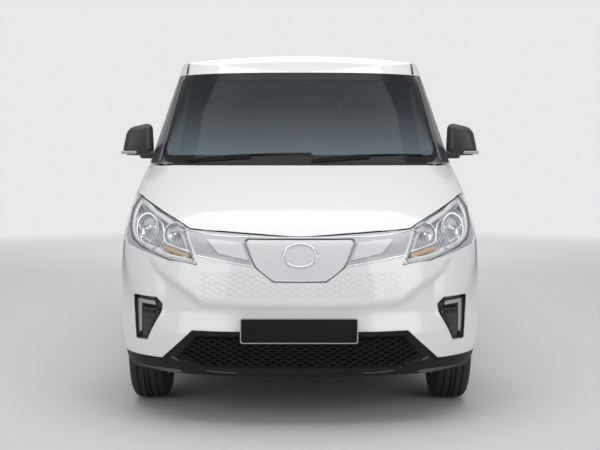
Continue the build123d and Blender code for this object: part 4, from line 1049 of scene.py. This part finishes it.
def worn(name, colour, second, rough, scale, metal=0.0, grain=0.1):
    """Plain finish that varies in colour and gloss, with a fine grain."""
    finish = Finish(name, Base_Color=colour, Roughness=rough, Metallic=metal)
    cloud = finish.noise(scale, 5.0)
    finish.feed(Base_Color=finish.mix(cloud, colour, second), Roughness=cloud * 0.2 + rough - 0.1)
    return finish.bump(finish.noise(scale * 60.0, 3.0), grain, 0.0008).material


PRIMER = worn("inner_grey_paint", (0.32, 0.33, 0.34, 1), (0.40, 0.41, 0.42, 1), 0.5, 6.0)
CHASSIS = worn("chassis_black", (0.012, 0.012, 0.013, 1), (0.035, 0.033, 0.031, 1), 0.55, 9.0)
CASTING = worn("cast_aluminium", (0.34, 0.34, 0.35, 1), (0.46, 0.46, 0.47, 1), 0.5, 14.0, 0.9, 0.3)
IRON = worn("cast_iron", (0.10, 0.09, 0.085, 1), (0.17, 0.14, 0.12, 1), 0.65, 20.0, 0.7, 0.4)
TRIM = worn("cab_trim", (0.014, 0.015, 0.017, 1), (0.022, 0.023, 0.025, 1), 0.65, 40.0, 0.0, 0.25)
MAT = worn("floor_mat", (0.02, 0.02, 0.021, 1), (0.035, 0.034, 0.033, 1), 0.85, 30.0, 0.0, 0.5)
coated(PRIMER, "load_floor", "rear_housings", "front_housings", "firewall", "bulkhead")
coated(MAT, "cab_floor")
coated(CHASSIS, "front_frame", "battery_pack", "rear_axle")
coated(CASTING, "motor_unit")
coated(IRON, "knuckle_left", "knuckle_right")
coated(BLACK, "charge_inlet")
coated(TRIM, "dashboard")
LEATHER = worn("steering_leather", (0.012, 0.012, 0.013, 1), (0.02, 0.02, 0.021, 1), 0.5, 60.0, 0.0, 0.3)
coated(LEATHER, "steering_wheel")

# Dashboard details: instrument glass, a blank centre screen, a glove box lid and air vents with slats. All
# are plastic, snapped into the moulding.
DASH_Y = FRONT + 1.317
for name, width, height, wall, centre, radius, material in (
        ("instrument_glass", 0.29, 0.052, 0.004, (0.39, -0.9895, 1.290), 0.012, GLOSS_BLACK),
        ("centre_screen", 0.235, 0.135, 0.010, (0.0, DASH_Y + 0.004, 1.130), 0.010, GLOSS_BLACK),
        ("glove_box_lid", 0.400, 0.135, 0.010, (-0.430, DASH_Y + 0.001, 1.085), 0.015, TRIM)):
    rounded_plate(name, width, height, wall, centre, radius, material)
for index, x in enumerate((-0.655, -0.185, 0.185, 0.655)):
    rounded_plate(f"vent_frame_{index}", 0.110, 0.066, 0.010, (x, DASH_Y + 0.001, 1.190), 0.012, GLOSS_BLACK)
    for slat in range(4):
        z = 1.169 + slat * 0.014
        tube(f"vent_slat_{index}_{slat}", [(x + end, DASH_Y + 0.007, z) for end in (-0.045, 0.045)], 0.0028,
             TRIM, smooth=False, turns=2)

# Cabin mirror: a silvered glass in a moulded shell, on a bent stem that reaches up to the head of the
# windscreen. The glass is on the side that faces the cab.
rounded_plate("cabin_mirror", 0.235, 0.062, 0.022, (0.0, -0.905, 1.640), 0.022, TRIM)
rounded_plate("cabin_mirror_glass", 0.220, 0.050, 0.003, (0.0, -0.8925, 1.640), 0.018, SILVERED)
tube("cabin_mirror_stem", [(0, -0.908, 1.650), (0, -0.915, 1.685), (0, -0.890, 1.712)], 0.007, TRIM)

# Door linings: moulded cards clipped to the inside of the front doors, each with an arm rest, a pocket, a
# pull and a round speaker grille.
for word, side in SIDES:
    door = f"front_door_{word}"
    for part, near, far, front, back, low, high, radius in (
            ("card", 0.816, 0.8335, -1.010, -0.185, 0.500, 1.135, 0.006),
            ("arm_rest", 0.772, 0.822, -0.700, -0.300, 0.865, 0.915, 0.016),
            ("pocket", 0.790, 0.822, -0.960, -0.420, 0.520, 0.640, 0.012),
            ("pull", 0.795, 0.820, -0.790, -0.720, 0.985, 1.015, 0.009)):
        left, right = sorted((side * near, side * far))
        soft_box(f"door_{part}_{word}", (left, front, low), (right, back, high), radius, TRIM,
                 door, rounds=3)
    speaker = bmesh.new()
    bmesh.ops.create_cone(speaker, cap_ends=True, segments=36, radius1=0.085, radius2=0.078, depth=0.012)
    spot = Matrix.Translation((side * 0.812, -0.86, 0.76)) @ Matrix.Rotation(-side * math.pi / 2, 4, "Y")
    bmesh.ops.transform(speaker, matrix=spot, verts=speaker.verts)
    on_body(finished(speaker, f"door_speaker_{word}", BLACK), door)

# Seats: sewn fabric covers over foam. Each seat has a crowned cushion and back with two sewn channels, a
# head rest on steel posts and a moulded plinth.
FABRIC = Finish("seat_fabric", Base_Color=(0.03, 0.031, 0.034, 1), Roughness=0.9, Sheen_Weight=0.3)
across, depth, height = FABRIC.place()
weave = (across * 2600.0).sine() * ((depth + height) * 2600.0).sine()
FABRIC.feed(Base_Color=FABRIC.mix(FABRIC.noise(300.0, 4.0), (0.022, 0.023, 0.025, 1),
                                  (0.05, 0.051, 0.055, 1)))
FABRIC.bump(weave, 0.4, 0.0008)
CLOTH_FRAMES = 20
MOST_TRAVEL = 0.010
TUCK = 0.022


def stuffed(piece, channels):
    """Swells a cover over its foam: a fine even mesh, blown up as cloth held at its sewn channels."""
    grid = piece.modifiers.new("grid", "REMESH")
    grid.mode = "VOXEL"
    grid.voxel_size = 0.006
    piece.data = bpy.data.meshes.new_from_object(piece.evaluated_get(bpy.context.evaluated_depsgraph_get()))
    piece.modifiers.clear()
    start = np.array([vertex.co[:] for vertex in piece.data.vertices])
    sewn = piece.vertex_groups.new(name="sewn")
    held = [index for index, spot in enumerate(start)
            if any(abs(spot[0] - line) < 0.005 for line in channels)]
    sewn.add(held, 1.0, "REPLACE")
    cloth = piece.modifiers.new("cover", "CLOTH")
    cloth.settings.use_pressure = True
    cloth.settings.uniform_pressure_force = 4.0
    cloth.settings.effector_weights.gravity = 0.0
    cloth.settings.vertex_group_mass = "sewn"
    cloth.point_cache.frame_end = CLOTH_FRAMES
    for frame_number in range(1, CLOTH_FRAMES + 1):
        bpy.context.scene.frame_set(frame_number)
    blown = piece.evaluated_get(bpy.context.evaluated_depsgraph_get()).data
    moved = np.array([vertex.co[:] for vertex in blown.vertices]) - start
    length = np.linalg.norm(moved, axis=1)[:, None]
    spots = start + moved * np.minimum(1.0, MOST_TRAVEL / np.maximum(length, 1e-9))
    piece.modifiers.clear()
    bpy.context.scene.frame_set(1)
    piece.data.vertices.foreach_set("co", spots.ravel())
    piece.data.update()
    piece.data.shade_smooth()


def pad(name, size, place, channels, crown):
    """Stuffed pad: rounded, crowned, drawn in between its corners and along its sewn channels."""
    mesh = bmesh.new()
    bmesh.ops.create_cube(mesh, size=2.0)
    bmesh.ops.subdivide_edges(mesh, edges=mesh.edges[:], cuts=31, use_grid_fill=True)
    half = Vector(size) / 2
    radius = min(half) * 0.62
    for vertex in mesh.verts:
        u, v, w = vertex.co
        spot = Vector((u * half.x, v * half.y, w * half.z))
        core = Vector([max(-edge + radius, min(edge - radius, value)) for edge, value in zip(half, spot)])
        if (spot - core).length > 1e-6:
            spot = core + (spot - core).normalized() * radius
        spot.z += w * crown * (1 - u * u) * (1 - v * v)
        spot.x *= 1 - TUCK * (1 - v * v) * abs(u) ** 6
        spot.y *= 1 - TUCK * (1 - u * u) * abs(v) ** 6
        vertex.co = spot
    piece = finished(mesh, name, FABRIC.material, angle=60)
    stuffed(piece, channels)
    spots = np.array([vertex.co[:] for vertex in piece.data.vertices])
    inward = np.clip(3 - 3 * np.abs(spots[:, 1]) / half.y, 0, 1)
    for line in channels:
        groove = np.exp(-((spots[:, 0] - line) / 0.007) ** 2) * inward
        spots[:, 2] -= np.sign(spots[:, 2]) * 0.006 * groove
    seam = np.exp(-(spots[:, 2] / 0.004) ** 2)[:, None]
    spots[:, :2] *= 1 - 0.010 * seam
    piece.data.vertices.foreach_set("co", spots.ravel())
    piece.data.transform(place)
    piece.data.update()
    return piece


BACK_ANGLE = 9.6
lean = Matrix.Rotation(math.radians(90 - BACK_ANGLE), 4, "X")
SEAT_X = 0.38
PADS = {
    "cushion": pad("driver_cushion", (0.455, 0.470, 0.110), Matrix.Translation((SEAT_X, -0.5105, 0.758))
                   @ Matrix.Rotation(math.radians(-4), 4, "X"), (-0.135, 0.135), 0.010),
    "backrest": pad("driver_backrest", (0.435, 0.645, 0.074), Matrix.Translation((SEAT_X, -0.232, 1.115))
                    @ lean, (-0.125, 0.125), 0.008),
    "head_rest": pad("driver_head_rest", (0.240, 0.140, 0.060), Matrix.Translation((SEAT_X, -0.160, 1.558))
                     @ lean, (), 0.005),
}
for x, word in ((SEAT_X, "driver"), (-SEAT_X, "passenger")):
    for part, made in PADS.items():
        piece = made
        if word == "passenger":
            piece = in_scene(f"passenger_{part}", made.data.copy())
            piece.data.transform(Matrix.Translation((-2 * SEAT_X, 0, 0)))
        on_body(piece)
        if part == "cushion":
            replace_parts(piece, f"{word}_seat")
    for end, offset in (("right", -0.062), ("left", 0.062)):
        tube(f"{word}_post_{end}", [(x + offset, -0.186, 1.43), (x + offset, -0.166, 1.50)], 0.006, NUT,
             smooth=False)
    soft_box(f"{word}_plinth", (x - 0.20, -0.700, 0.481), (x + 0.20, -0.322, 0.705), 0.02, TRIM)

# Camera: a long lens straight ahead of the van at chest height, tipped down a little so that the van
# fills the view.
CAMERA_DISTANCE = 7.1775
CAMERA_HEIGHT = 1.25
CAMERA_PITCH = 3.58
camera = in_scene("camera", bpy.data.cameras.new("camera"))
camera.location = (0.0, -CAMERA_DISTANCE, CAMERA_HEIGHT)
camera.rotation_euler = (math.radians(90 - CAMERA_PITCH), 0, 0)
camera.data.sensor_width = 36
camera.data.lens = 65
bpy.context.scene.camera = camera

# Studio: a pale floor that fades into a pale backdrop, with a large soft light overhead and smaller ones
# round it.
BACKDROP = (0.80, 0.81, 0.82, 1)
floor_paint = Finish("floor_paint", Roughness=0.9, Emission_Strength=1.0, Specular_IOR_Level=0.0)
across, depth, _ = floor_paint.place()
away = ((across * across + depth * depth) * 0.010 - 0.25).most(0.0).least(1.0)
seen = floor_paint.add("ShaderNodeLightPath", {}, {})
floor_paint.feed(Base_Color=floor_paint.mix(away, (0.66, 0.665, 0.67, 1), (0, 0, 0, 1)),
                 Emission_Color=floor_paint.mix(away * seen, (0, 0, 0, 1), BACKDROP))
ground_mesh = bmesh.new()
bmesh.ops.create_grid(ground_mesh, x_segments=2, y_segments=2, size=60)
finished(ground_mesh, "studio_floor", floor_paint.material)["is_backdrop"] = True


def soft_light(name, place, aim, size, power):
    """Large square area light pointed at a place."""
    lamp = in_scene(name, bpy.data.lights.new(name, "AREA"))
    lamp.location = place
    lamp.rotation_euler = (Vector(aim) - Vector(place)).to_track_quat("-Z", "Y").to_euler()
    lamp.data.size = size
    lamp.data.energy = power


soft_light("top_light", (0, -1.5, 7), (0, 0, 0.5), 7, 250)
soft_light("front_left_light", (5, -8, 3.2), (0, -1, 0.9), 4, 105)
soft_light("front_right_light", (-5, -8, 3.2), (0, -1, 0.9), 4, 85)
soft_light("rear_light", (0, 8, 4), (0, 1, 1), 5, 150)
world = bpy.data.worlds.new("studio")
bpy.context.scene.world = world
world.use_nodes = True
sky = world.node_tree
lighting = sky.nodes["Background"]
lighting.inputs["Color"].default_value = (0.86, 0.87, 0.88, 1)
lighting.inputs["Strength"].default_value = 0.55
shown = sky.nodes.new("ShaderNodeBackground")
shown.inputs["Color"].default_value = BACKDROP
share = sky.nodes.new("ShaderNodeMixShader")
sky.links.new(sky.nodes.new("ShaderNodeLightPath").outputs["Is Camera Ray"], share.inputs[0])
sky.links.new(lighting.outputs[0], share.inputs[1])
sky.links.new(shown.outputs[0], share.inputs[2])
sky.links.new(share.outputs[0], sky.nodes["World Output"].inputs[0])
bpy.context.scene.view_settings.view_transform = "Standard"

low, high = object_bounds()
